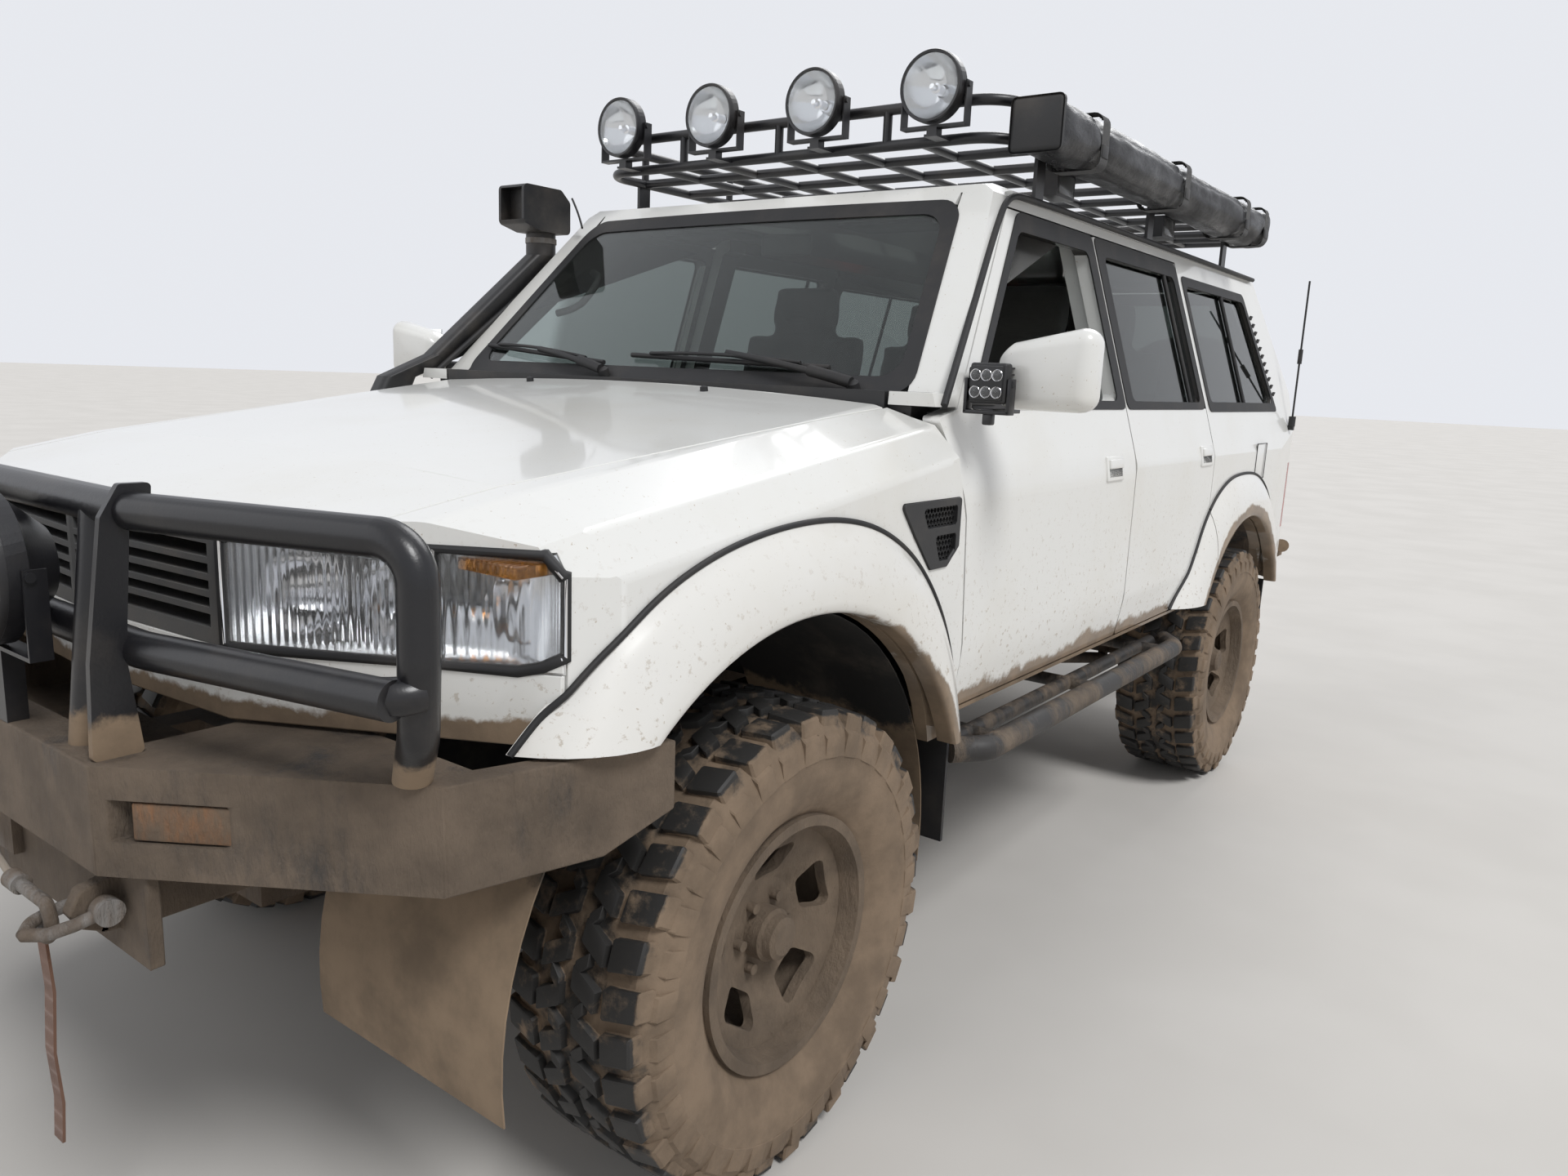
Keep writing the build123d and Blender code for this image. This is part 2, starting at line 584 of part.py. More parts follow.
def body_glass():
    """Bonded glass of the body: windscreen and the two quarter windows."""
    low, high = SCUTTLE_TOP + FIT, HEADER_BOTTOM - FIT
    opening = [(-748, low), (748, low), (628, high), (-628, high)]
    screen = (CABIN - cabin(GLASS)) & front_prism(opening, 0, 1300)
    screen = screen & block(-1000, 1000, 400, 1300, low, high)
    return [biggest(screen), *both(pane(QUARTER_WINDOW, 30))]


def pane(outline, radius=22):
    """A sheet of glass set back in a window opening."""
    sheet = (cabin(GLASS_SET_BACK) - cabin(GLASS_SET_BACK + GLASS)) & block(500, 1100, 0, 3600, 1300, 1900)
    return biggest(sheet & side_prism(outline, 500, 1100, radius=radius))


def tail_doors():
    """Two side-hinged rear doors and their glass; the wider, left one carries the spare wheel."""
    whole = SHELL & front_prism(TAIL_OPENING, 3380, 4000)
    rise = Vector(0, TAIL_TOP - (TAIL - 22), GUTTER - BELT)
    back = st(TAIL + 30)
    left, right = TAIL_SPLIT + SEAM, TAIL_SPLIT - SEAM
    wedge = Polyline((right, back), (left, back), (left + 26, back - 110), (right - 36, back - 110), close=True)
    split = extrude(Plane.XY.offset(BELT) * make_face(wedge), 600 * rise.length / rise.Z, dir=rise.normalized())
    split = split + block(right, left, 3600, 4000, 600, BELT + 1)
    rows = [
        # from x, to x, glass from x, glass to x
        (TAIL_SPLIT, 1000, TAIL_SPLIT + 75, 700),
        (-1000, TAIL_SPLIT, -700, TAIL_SPLIT - 85),
    ]
    window = front_prism([(-530, 1832), (530, 1832), (690, 1440), (-690, 1440)], 3300, 4000)
    doors, panes = [], []
    for x0, x1, glass0, glass1 in rows:
        opening = window & block(glass0, glass1, 3380, 4000, 1400, 1900)
        door = (whole & block(x0, x1, 3300, 4000, 0, 3000)) - split - opening
        side = 1 if x1 > 0 else -1
        x, y = TAIL_HINGE
        for z in TAIL_HINGE_Z:
            low, high = z + 20 + FIT, z + 42
            door = door + post(side * x, y, low, high, 8) + block(side * (x - 90), side * (x - 20), y - 15, y - 3, low, high)
            door = door + block(side * (x - 21), side * x, y - 9, y - 3, low, high)
        doors.append(biggest(door))
        panes.append(biggest((cabin(GLASS_SET_BACK) - cabin(GLASS_SET_BACK + GLASS)) & opening))
    return doors, panes


# Wheels, axles and steering


def tyre():
    """A tyre about its own centre, turning about X."""
    half = TYRE_WIDTH / 2
    right = [(RIM_SEAT, RIM_RADIUS), (RIM_SEAT, RIM_RADIUS + 13), (half, 330), (half - 4, 385),
             (half - 16, TYRE_RADIUS - 14), (half - 36, TYRE_RADIUS)]
    left = [(-x, r) for x, r in reversed(right)]
    return revolve(make_face(Polyline(*right, *left, close=True)), Axis.X)


def rim():
    """A dished rim with five rounded windows, studs and a free-wheel hub, its face at +X."""
    outer = RIM_RADIUS - FIT
    lip = outer + 12
    inside = [(130, outer - 8), (96, outer - 22), (60, outer - 26), (-60, outer - 26), (-100, outer - 12),
              (-126, outer - 6)]
    outside = [(-126, lip), (-RIM_SEAT - FIT, lip), (-RIM_SEAT - FIT, outer), (RIM_SEAT + FIT, outer),
               (RIM_SEAT + FIT, lip), (130, lip)]
    body = revolve(make_face(Polyline(*inside, *outside, close=True)), Axis.X)
    dish = [(HUB_FACE, 0), (48, 0), (52, 100), (86, outer - 50), (92, outer - 20), (70, outer - 20), (64, outer - 50),
            (HUB_FACE + 4, 100)]
    body = body + revolve(make_face(Polyline(*dish, close=True)), Axis.X)
    window = make_face(FilletPolyline((-34, 112), (34, 112), (62, 172), (-62, 172), radius=15, close=True))
    for i in range(RIM_WINDOWS):
        body = body - extrude(Plane.YZ * (Rot(0, 0, 360 / RIM_WINDOWS * i) * window), 140)
    for i in range(STUDS):
        turn = math.radians(360 / STUDS * i)
        stud = Pos(STUD_CIRCLE / 2 * math.cos(turn), STUD_CIRCLE / 2 * math.sin(turn)) * Circle(10)
        body = body + extrude(Plane.YZ.offset(44) * stud, 24)
    cap = Polyline((46, 0), (46, 50), (82, 50), (88, 44), (104, 40), (110, 30), (110, 0), close=True)
    return body + revolve(make_face(cap), Axis.X)


def knuckle():
    """Swivel housing round the axle's ball, with its pivot caps, stub, steering arm and brake caliper."""
    cup = Sphere(BALL_RADIUS + 22) - Sphere(BALL_RADIUS + 4)
    cup = cup & (Pos(60 - 10, 0, 0) * Box(120, 300, 300))
    cup = cup & Box(400, 400, 176)
    top = Pos(0, 0, BALL_RADIUS + 6) * extrude(Circle(34), 26)
    low = Pos(0, 0, -BALL_RADIUS - 32) * extrude(Circle(34), 26)
    pins = Pos(0, 0, BALL_RADIUS + FIT) * extrude(Circle(14), 10)
    pins = pins + Pos(0, 0, -BALL_RADIUS - FIT - 10) * extrude(Circle(14), 10)
    stub = Plane.YZ.offset(BALL_RADIUS + 10) * extrude(Circle(36), HUB_SEAT - KINGPIN_X - BALL_RADIUS - 10)
    arm = Pos(0, 0, -BALL_RADIUS - 32) * extrude(Polygon((-30, 0), (30, 0), (-34, 180), (-66, 180), align=None), 20)
    caliper = Pos(125, -105, 0) * Box(50, 40, 110)
    carrier = Pos(112, -80, 0) * Box(24, 90, 60)
    return biggest(cup + top + low + pins + stub + arm + carrier + caliper)


def live_axle(station, front):
    """An axle tube with its differential and, in front, the swivel balls."""
    end = KINGPIN_X if front else REAR_AXLE_END
    piece = crossbar(-end, end, station, TYRE_RADIUS, AXLE_TUBE)
    x = -DIFF_OFFSET if front else 0
    piece = piece + Pos(x, st(station), TYRE_RADIUS) * Sphere(DIFF_RADIUS)
    nose_side = 1 if front else -1
    snout = fore_aft(x, *sorted((station, station + nose_side * 240)), TYRE_RADIUS + 20, 62)
    piece = piece + snout
    for side in (-1, 1):
        if front:
            piece = piece + Pos(side * KINGPIN_X, st(station), TYRE_RADIUS) * Sphere(BALL_RADIUS)
        else:
            ends = sorted((side * (REAR_AXLE_END - 60), side * REAR_AXLE_END))
            piece = piece + crossbar(*ends, station, TYRE_RADIUS, 90)
            hub = sorted((side * REAR_AXLE_END, side * HUB_SEAT))
            piece = piece + crossbar(*hub, station, TYRE_RADIUS, 60)
    return [biggest(piece)]


def rail():
    """The left chassis rail, arched over both axles and stepped out behind the engine."""
    side = [(-700, RAIL_TOP), (3650, RAIL_TOP), (3650, 610), (3250, 610), (3120, RAIL_ARCHED), (2580, RAIL_ARCHED),
            (2450, RAIL_BOTTOM), (420, RAIL_BOTTOM), (300, RAIL_ARCHED), (-300, RAIL_ARCHED), (-400, 600),
            (-700, 600)]
    half = RAIL_WIDTH / 2
    plan = [(RAIL_X - half, -700), (RAIL_X + half, -700), (RAIL_X + half, 650), (RAIL_REAR_X + half, 900),
            (RAIL_REAR_X + half, 3650), (RAIL_REAR_X - half, 3650), (RAIL_REAR_X - half, 900), (RAIL_X - half, 650)]
    return side_prism(side, 100, 800) & plan_prism(plan, 500, 800)


def rail_at(station):
    """X of the rail's middle at a station."""
    return RAIL_X if station < 660 else RAIL_REAR_X


def chassis_frame():
    """Ladder frame: rails, crossmembers and body mounts."""
    solids = both(rail())
    for y in CROSS_STATIONS:
        inner = rail_at(y) - RAIL_WIDTH / 2
        solids.append(block(-inner, inner, y - 35, y + 35, RAIL_TOP - CROSS_DEPTH, RAIL_TOP))
    inner = RAIL_REAR_X - RAIL_WIDTH / 2
    solids.append(block(-inner, inner, GEARBOX_STATION - 35, GEARBOX_STATION + 35, RAIL_BOTTOM,
                        RAIL_BOTTOM + GEARBOX_SEAT))
    for y in MOUNT_STATIONS:
        solids.extend(both(post(rail_at(y), y, RAIL_TOP, FLOOR_TOP - FLOOR_THICK, 32)))
    return solids


def suspension():
    """Coil springs, dampers, radius arms and cross links on both axles."""
    solids = []
    for y, x in ((0, SPRING_X_FRONT), (WHEELBASE, SPRING_X_REAR)):
        top = RAIL_ARCHED
        foot = TYRE_RADIUS + AXLE_TUBE + FIT
        solids.extend(both(post(x, y, foot, top - FIT, 50)))
    arm = tube([(RAIL_X + 60, 75, 385), (RAIL_X + 50, 500, 470), (RAIL_REAR_X - 20, 1000, 532)], 22, 300)
    arm = arm + block(RAIL_X + 46, RAIL_X + 74, AXLE_TUBE + FIT, 90, 375, 450)
    arm = arm + block(RAIL_REAR_X - 36, RAIL_REAR_X - 4, 975, 1010, 525, RAIL_BOTTOM - FIT)
    solids.extend(both(arm))
    arm = tube([(RAIL_REAR_X, 2780, 385), (RAIL_REAR_X, 2000, 532)], 22)
    arm = arm + block(RAIL_REAR_X - 14, RAIL_REAR_X + 14, 2765, WHEELBASE - AXLE_TUBE - FIT, 375, 450)
    arm = arm + block(RAIL_REAR_X - 16, RAIL_REAR_X + 16, 1990, 2025, 525, RAIL_BOTTOM - FIT)
    solids.extend(both(arm))
    rod = tube([(-360, -170, 480), (330, -170, 600)], 17)
    rod = rod + block(-374, -346, -184, -AXLE_TUBE - FIT, 435, 495)
    rod = rod + block(312, 344, -184, -156, 590, RAIL_ARCHED - FIT)
    solids.append(rod)
    return solids


def drivetrain():
    """Gearbox with transfer case and both propeller shafts."""
    low, high = RAIL_BOTTOM + GEARBOX_SEAT + FIT, 727
    box = block(-110, 140, 470, 1250, low, high) + block(-200, 140, 1020, 1250, low, high)
    front = tube([(-DIFF_OFFSET, 246, 476), (-DIFF_OFFSET, 1030, 622)], 30)
    rear = tube([(0, 1240, 593), (0, WHEELBASE - 243.5, 475)], 34)
    return [biggest(box + front + rear)]


def engine_block():
    """The engine, closed inside, as one block on its front mount."""
    engine = block(-230, 230, -430, 470 - FIT, 715, 1170)
    return [engine + block(-180, 180, -430, -390, RAIL_TOP + FIT, 716)]


def tank_and_exhaust():
    """Fuel tank behind the rear axle and the exhaust with its silencer."""
    under = RAIL_TOP - CROSS_DEPTH - FIT
    tank = block(-330, 330, WHEELBASE + 270, WHEELBASE + 750, 480, under)
    pipe = tube([(270, 475, 600), (270, 900, 520), (270, 1500, 520)], 26, 100)
    silencer = fore_aft(270, 1500, 2200, 520, 85)
    tail = tube([(270, 2200, 520), (270, WHEELBASE - 400, 520), (270, WHEELBASE - 280, 580)], 26, 60)
    hanger = block(262, 278, 1730, 1750, 590, under)
    return [tank, biggest(pipe + silencer + tail + hanger)]


def steering_wheel():
    """Rim, hub and three spokes on a raked column."""
    plane = Plane(origin=(WHEEL_X, st(1140), 1200), z_dir=(0, math.cos(COLUMN_RAKE), math.sin(COLUMN_RAKE)))
    piece = plane * (Torus(185, 15) + Pos(0, 0, -38) * Cylinder(62, 46))
    for turn in (0, 180, 270):
        spoke = Pos(110, 0, -22) * Box(160, 26, 16)
        piece = piece + plane * (Rot(0, 0, turn) * spoke)
    return [biggest(piece)]


def dashboard():
    """Dashboard with binnacle, console and steering column."""
    front = BULKHEAD + 40 + FIT
    profile = [(front, 1150), (front, 1385), (800, 1392), (1000, 1330), (1015, 1180), (960, 1120)]
    board = side_prism(profile, -780, 780, radius=20)
    binnacle = side_prism([(800, 1380), (830, 1420), (960, 1405), (1000, 1330), (900, 1300)], 190, 540, radius=10)
    console = side_prism([(700, 905), (700, 1160), (980, 1150), (1120, 960), (1200, 905)], -120, 120, radius=10)
    plane = Plane(origin=(WHEEL_X, st(1140), 1200), z_dir=(0, math.cos(COLUMN_RAKE), math.sin(COLUMN_RAKE)))
    column = plane * (Pos(0, 0, -280) * extrude(Circle(34), 280 - 61 - FIT))
    return [biggest(board + binnacle + column), console - block(-200, 200, 0, 3000, 0, 905)]


def seat(x0, x1, station, heads):
    """A seat with cushion, raked back and headrests."""
    cushion = side_prism([(station, 880), (station - 20, 1010), (station + 60, 1035), (station + 520, 1000),
                          (station + 540, 880)], x0, x1, radius=25)
    back = side_prism([(station + 470, 990), (station + 430, 1040), (station + 590, 1610), (station + 680, 1610),
                       (station + 620, 960), (station + 520, 940)], x0, x1, radius=25)
    piece = cushion + back
    for x in heads:
        head = side_prism([(station + 575, 1640), (station + 600, 1790), (station + 670, 1790), (station + 680, 1640)],
                          x - 125, x + 125, radius=25)
        stalks = post(x - 50, station + 632, 1600, 1660, 8) + post(x + 50, station + 632, 1600, 1660, 8)
        piece = piece + head + stalks
    base = block(x0 + 50, x1 - 50, station + 60, station + 480, FLOOR_TOP, 890)
    return biggest(piece + base)


def seats():
    """Two front seats and a rear bench."""
    return [seat(190, 690, 1240, [440]), seat(-690, -190, 1240, [-440]), seat(-600, 600, 2080, [-360, 360])]


# Equipment


def bull_bar():
    """Bull bar: a hoop round both lamps, a lower rail, uprights and flat straps on the bumper."""
    z = BAR_TOP - BAR_RADIUS
    half = [(805, -712, BUMPER_TOP - 12), (880, -752, 1015), (898, -762, 1110), (892, -757, z), (470, -885, z)]
    path = half + [(-x, y, h) for x, y, h in reversed(half)]
    piece = tube(path, BAR_RADIUS, 55)
    lower = [(893, -795, BAR_LOW), (470, -885, BAR_LOW), (-470, -885, BAR_LOW), (-893, -795, BAR_LOW)]
    piece = piece + tube(lower, BAR_RADIUS, 200)
    for side in (-1, 1):
        piece = piece + tube([(side * 370, -925, BUMPER_TOP - 12), (side * 370, -887, z)], BAR_UPRIGHT)
        strap = [(-955, BUMPER_TOP), (-950, 1060), (-925, 1250), (-900, 1292), (-860, 1292), (-862, 1262),
                 (-890, 1240), (-905, 1060), (-890, BUMPER_TOP)]
        x0, x1 = sorted((side * 455, side * 467))
        piece = piece + side_prism(strap, x0, x1, radius=6)
    return [biggest(piece - block(-1000, 1000, -1100, -600, 800, BUMPER_TOP))]


def front_bumper():
    """Folded steel bumper with swept wings, lamp pockets, a lower pan and two recovery lugs."""
    half = [(470, -BUMPER_FRONT), (865, -705), (955, -365), (930, -365), (838, -640)]
    beam = plan_prism(half + [(-x, y) for x, y in reversed(half)], BUMPER_BOTTOM, BUMPER_TOP)
    rake = side_prism([(-700, 700), (-300, 700), (-300, 850), (-480, BUMPER_BOTTOM)], 700, 1100)
    piece = beam - rake - other_side(rake)
    piece = piece - block(-430, 430, -900, -600, BUMPER_BOTTOM + 20, BUMPER_TOP + 10)
    piece = piece + block(-520, 520, -925, -905, PAN_BOTTOM, BUMPER_BOTTOM)
    piece = piece + block(-385, 385, -925, -700, PAN_BOTTOM, PAN_BOTTOM + 12)
    for side in (-1, 1):
        arm = block(side * (RAIL_X - 40), side * (RAIL_X + 40), -905, -700, PAN_BOTTOM, BUMPER_BOTTOM + 1)
        lug = side_prism(LUG_OUTLINE, side * LUG_X - LUG_THICK / 2, side * LUG_X + LUG_THICK / 2, radius=8)
        lug = lug - crossbar(-600, 600, LUG_HOLE[0], LUG_HOLE[1], LUG_BORE / 2)
        pocket = block(side * 490, side * 640, -1000, -860, 826, 884)
        piece = piece + arm + lug - pocket
    return [biggest(piece - block(-45, 45, -930, -900, ROPE_Z - 20, ROPE_Z + 20))]


def winch():
    """Winch drum and housing on the bumper shelf, with its fairlead."""
    drum = crossbar(-160, 160, -800, WINCH_Z, 50)
    motors = crossbar(-298, -160, -800, WINCH_Z, 58) + crossbar(160, 298, -800, WINCH_Z, 58)
    foot = block(-298, 298, -850, -750, PAN_BOTTOM + 12 + FIT, WINCH_Z - 40)
    fairlead = block(-110, 110, -940, -925 - FIT, ROPE_Z - 32, ROPE_Z + 32)
    fairlead = fairlead - block(-FAIRLEAD_SLOT, FAIRLEAD_SLOT, -960, -900, ROPE_Z - 14, ROPE_Z + 14)
    return [biggest(drum + motors + foot), fairlead]


def shackle():
    """Bow shackle on the left recovery lug, pulled forward and towards the middle."""
    y, z = LUG_HOLE
    dx, dy, dz = BOW_REACH
    pin = crossbar(LUG_X - 38, LUG_X + 38, y, z, LUG_BORE / 2 - FIT)
    ears = crossbar(LUG_X - 42, LUG_X - 18, y, z, 19) + crossbar(LUG_X + 18, LUG_X + 42, y, z, 19)
    for side in (-1, 1):
        route = []
        for share, half in ((0, 28), (0.45, 32), (0.8, 26), (1, 0)):
            route.append((LUG_X + share * dx + side * half, y + share * dy, z + share * dz))
        ears = ears + tube(route, 9, 16)
    lug_room = crossbar(LUG_X - LUG_THICK / 2 - 1, LUG_X + LUG_THICK / 2 + 1, y, z, 40)
    return [biggest((ears - lug_room) + pin)]


def winch_hook():
    """The hook at the rope's end, caught in the shackle's bow, with its eye and its tip."""
    x, y, z = ROPE_END
    line = [(x, y, z), (x + 116, y, z), (x + 128, y, z - 26), (x + 114, y, z - 52), (x + 64, y, z - 52)]
    return [biggest(tube(line, 9, 12) + crossbar(x, x + 34, y, z, 14))]


def hook_strap():
    """A flat strap hanging limp from the hook."""
    back = [(y + STRAP_THICK, z) for y, z in reversed(STRAP_LINE)]
    return [side_prism(STRAP_LINE + back, *STRAP_X)]


def driving_lamps():
    """Round lamps: two on the bull bar and four on the rack, with their brackets."""
    solids = []
    rows = []
    for x in BAR_LAMP_X:
        rows.append((x, BAR_LAMP_Y, BAR_LAMP_Z, BAR_LAMP_RADIUS, BUMPER_TOP))
    for x in RACK_LAMP_X:
        rows.append((x, RACK_LAMP_Y, RACK_LAMP_Z, RACK_LAMP_RADIUS, RACK_FLOOR))
    for x, y, z, radius, seat_z in rows:
        solids.append(round_lamp(x, y, z, radius, seat_z))
    return solids


def round_lamp(x, y, z, radius, seat_z):
    """A deep round lamp facing forward, held in a U bracket that stands at seat_z."""
    deep = 0.8 * radius
    shell_line = Polyline((0, 0), (radius - 8, 0), (radius - 8, 6), (radius, 6), (radius, 32), (radius - 10, 38),
                          (radius * 0.5, deep), (0, deep), close=True)
    body = revolve(make_face(shell_line), Axis.Y)
    body = Pos(x, st(y), z) * body
    half = radius + 2
    low = z - radius - 8
    yoke = block(x - half - 4, x + half + 4, y + 20, y + 50, low, z + 10)
    yoke = yoke - block(x - half, x + half, y, y + 100, low + 6, z + 20)
    pins = crossbar(x - half - 10, x + half + 10, y + 28, z, 7)
    foot = block(x - 14, x + 14, y + 20, y + 48, seat_z, low + 1)
    return biggest(body + pins + yoke + foot)


def snorkel():
    """Intake pipe from the right wing up beside the windscreen pillar, with a head that faces forward."""
    x, y = SNORKEL_FOOT
    lean = Vector((GUTTER_HALF - BELT_HALF) * -1, SNORKEL_LEAN * (GUTTER - BELT), GUTTER - BELT)
    low = Plane(origin=(x, st(y), SNORKEL_Z0)) * RectangleRounded(72, 114, 24)
    mast = extrude(low, (SNORKEL_Z1 - SNORKEL_Z0) * lean.length / lean.Z, dir=lean.normalized())
    root_x, root_y, root_z = SNORKEL_ROOT
    knee_x, knee_y, knee_z = SNORKEL_KNEE
    knee = Plane(origin=(knee_x, st(knee_y), knee_z)) * RectangleRounded(64, 108, 22)
    root = Plane(origin=(root_x, st(root_y), root_z)) * RectangleRounded(60, 116, 20)
    base = loft([root, knee, low], ruled=True) - NOSE_SOLID
    rise = SNORKEL_Z1 - SNORKEL_Z0
    top_x = x + lean.X / lean.Z * rise
    top_y = y + lean.Y / lean.Z * rise
    neck = post(top_x - 14, top_y, SNORKEL_Z1 - 20, SNORKEL_Z1 + 90, 46)
    head_line = [(top_y - 130, 1886), (top_y - 130, 2000), (top_y + 20, 2000), (top_y + 58, 1966), (top_y + 58, 1868),
                 (top_y - 60, 1868)]
    head = side_prism(head_line, top_x - 58, top_x + 58, radius=16)
    mouth = block(top_x - 48, top_x + 48, top_y - 140, top_y - 90, 1896, 1990)
    return [biggest(mast + biggest(base) + neck + (head - mouth))]


def roof_rack():
    """Tubular rack with a floor, a raised rail, cross tubes and gutter feet."""
    half, front, rear = RACK_HALF, RACK_FRONT, RACK_REAR
    r = RACK_RADIUS
    rails = []
    for z in (RACK_FLOOR, RACK_RAIL):
        loop = tube([(0, front, z), (half, front, z), (half, rear, z), (0, rear, z)], r, 110)
        rails.append(loop + other_side(loop))
    piece, upper = rails
    for y in RACK_CROSS:
        piece = piece + crossbar(-half, half, y, RACK_FLOOR, r - 1)
    for x in RACK_SLATS:
        piece = piece + fore_aft(x, front, rear, RACK_FLOOR, r - 2)
    piece = piece + upper
    for y in RACK_POSTS:
        for side in (-1, 1):
            piece = piece + post(side * half, y, RACK_FLOOR, RACK_RAIL, r - 2)
    for x in (-356, 0, 356):
        piece = piece + post(x, front, RACK_FLOOR, RACK_RAIL, r - 2)
        piece = piece + post(x, rear, RACK_FLOOR, RACK_RAIL, r - 2)
    for x in RACK_LAMP_X:
        piece = piece + block(x - 18, x + 18, RACK_LAMP_Y + 15, front, RACK_FLOOR - 6, RACK_FLOOR)
    for y in RACK_FEET:
        for side in (-1, 1):
            x = side * (GUTTER_HALF + 2)
            leg = block(x - 5, x + 5, y - 25, y + 25, GUTTER + 14 + FIT, RACK_FLOOR)
            arm = block(*sorted((x, side * half)), y - 25, y + 25, RACK_FLOOR - 5, RACK_FLOOR + 5)
            piece = piece + leg + arm
    return [biggest(piece)]


def work_lamps():
    """Two small square floodlights under the rack on the left."""
    solids = []
    for y in WORK_LAMP_STATIONS:
        tab = block(RACK_HALF - 5, RACK_HALF + 5, y - 10, y + 10, 2030, RACK_FLOOR - RACK_RADIUS - FIT)
        solids.append(block(RACK_HALF - 50, RACK_HALF + 10, y - 60, y + 60, 1968, 2035) + tab)
    return solids


def awning_bag():
    """A closed bag strapped along the left side of the rack."""
    line = FilletPolyline((AWNING_X, AWNING_Z), (AWNING_X + 142, AWNING_Z), (AWNING_X + 142, AWNING_Z + 138),
                          (AWNING_X, AWNING_Z + 138), radius=24, close=True)
    return [extrude(Plane.XZ.offset(-st(AWNING_REAR)) * make_face(line), AWNING_REAR - AWNING_FRONT)]


def side_steps():
    """Tubular step on each side with three legs to the chassis rail."""
    x, z, r = STEP_X, STEP_Z, 30
    path = [(x - 60, 645, z), (x, 720, z), (x, 2080, z), (x - 60, 2160, z)]
    step = tube(path, r, 60)
    for y in STEP_LEGS:
        leg = tube([(rail_at(y) + RAIL_WIDTH / 2, y, z), (x, y, z)], 18)
        step = step + leg
    inner = fore_aft(x - 90, 690, 2110, z, 20)
    return both(biggest(step + inner))


def rear_bumper():
    """Tube bumper with a flat tread and a towing receiver."""
    tread = block(-700, 700, 3815, 3935, 700, 740)
    piece = tread + block(-860, 860, 3850, 3935, 740, 800)
    for side in (-1, 1):
        piece = piece + tube([(side * 700, 3900, 780), (side * 860, 3890, 790), (side * 888, 3790, 800)], 28, 60)
        x0, x1 = side * (RAIL_REAR_X - 38), side * (RAIL_REAR_X + 38)
        piece = piece + block(x0, x1, 3650, 3870, 620, 688) + block(x0, x1, 3815, 3870, 680, 710)
    receiver = block(-38, 38, 3640, 3960, 600, 676) - block(-RECEIVER / 2, RECEIVER / 2, 3700, 4000, 613, 663)
    return [biggest(piece + receiver + block(-38, 38, 3830, 3930, 675, 701))]


def tail_lamps():
    """Tall lamps let into the rear corners."""
    lamp = (CABIN - cabin(SKIN - 2)) & block(790, 1000, LAMP_TAIL[0], 4000, LAMP_TAIL[1], LAMP_TAIL[2])
    return both(biggest(lamp))


def mud_flaps():
    """Rubber flaps hanging behind the wheels."""
    front = block(680, 900, 612, 622, 430, SILL_BOTTOM)
    rear = block(680, 900, WHEELBASE + 600, WHEELBASE + 610, 430, SILL_BOTTOM)
    return both(front, rear)


def antennas():
    """A whip on the left rear corner and a short one on the right windscreen pillar."""
    x, y = 902, 3600
    bracket = block(x - 45, x + 10, y - 12, y + 12, 1322, 1340) - CABIN
    whip = post(x, y, 1340, 1940, 4) + post(x, y, 1600, 1660, 9) + post(x, y, 1338, 1380, 14)
    return [biggest(bracket + whip)]


def mirror_unit():
    """A door mirror on its foot."""
    housing = side_prism([(600, 1418), (600, 1570), (640, 1582), (690, 1560), (690, 1430), (660, 1412)], 985, 1160,
                         radius=14)
    foot = tube([(850, 702, 1440), (930, 685, 1440), (1000, 665, 1440)], 20, 30)
    return biggest(housing + foot)


def mirror_lamp():
    """The small floodlight in front of the left mirror, with its bracket."""
    pod = block(892, 1000, 545, 592, 1412, 1505)
    return pod + block(940, 964, 590, 690, 1424, 1440)


# Assembly: each node's solids, in place

lamps = driving_lamps()
flares, door_flare = wheel_flares()
doors = side_doors()
rear_doors, rear_panes = tail_doors()
side = side_panel()
front_pane, rear_pane = pane(FRONT_WINDOW), pane(REAR_WINDOW)
wing_mirror = mirror_unit()
carrier = fore_aft(SPARE_X, TAIL - 10, SPARE_STATION + HUB_FACE - FIT, SPARE_Z, 40)
door_front, door_rear = doors["front"], biggest(doors["rear"] + door_flare)

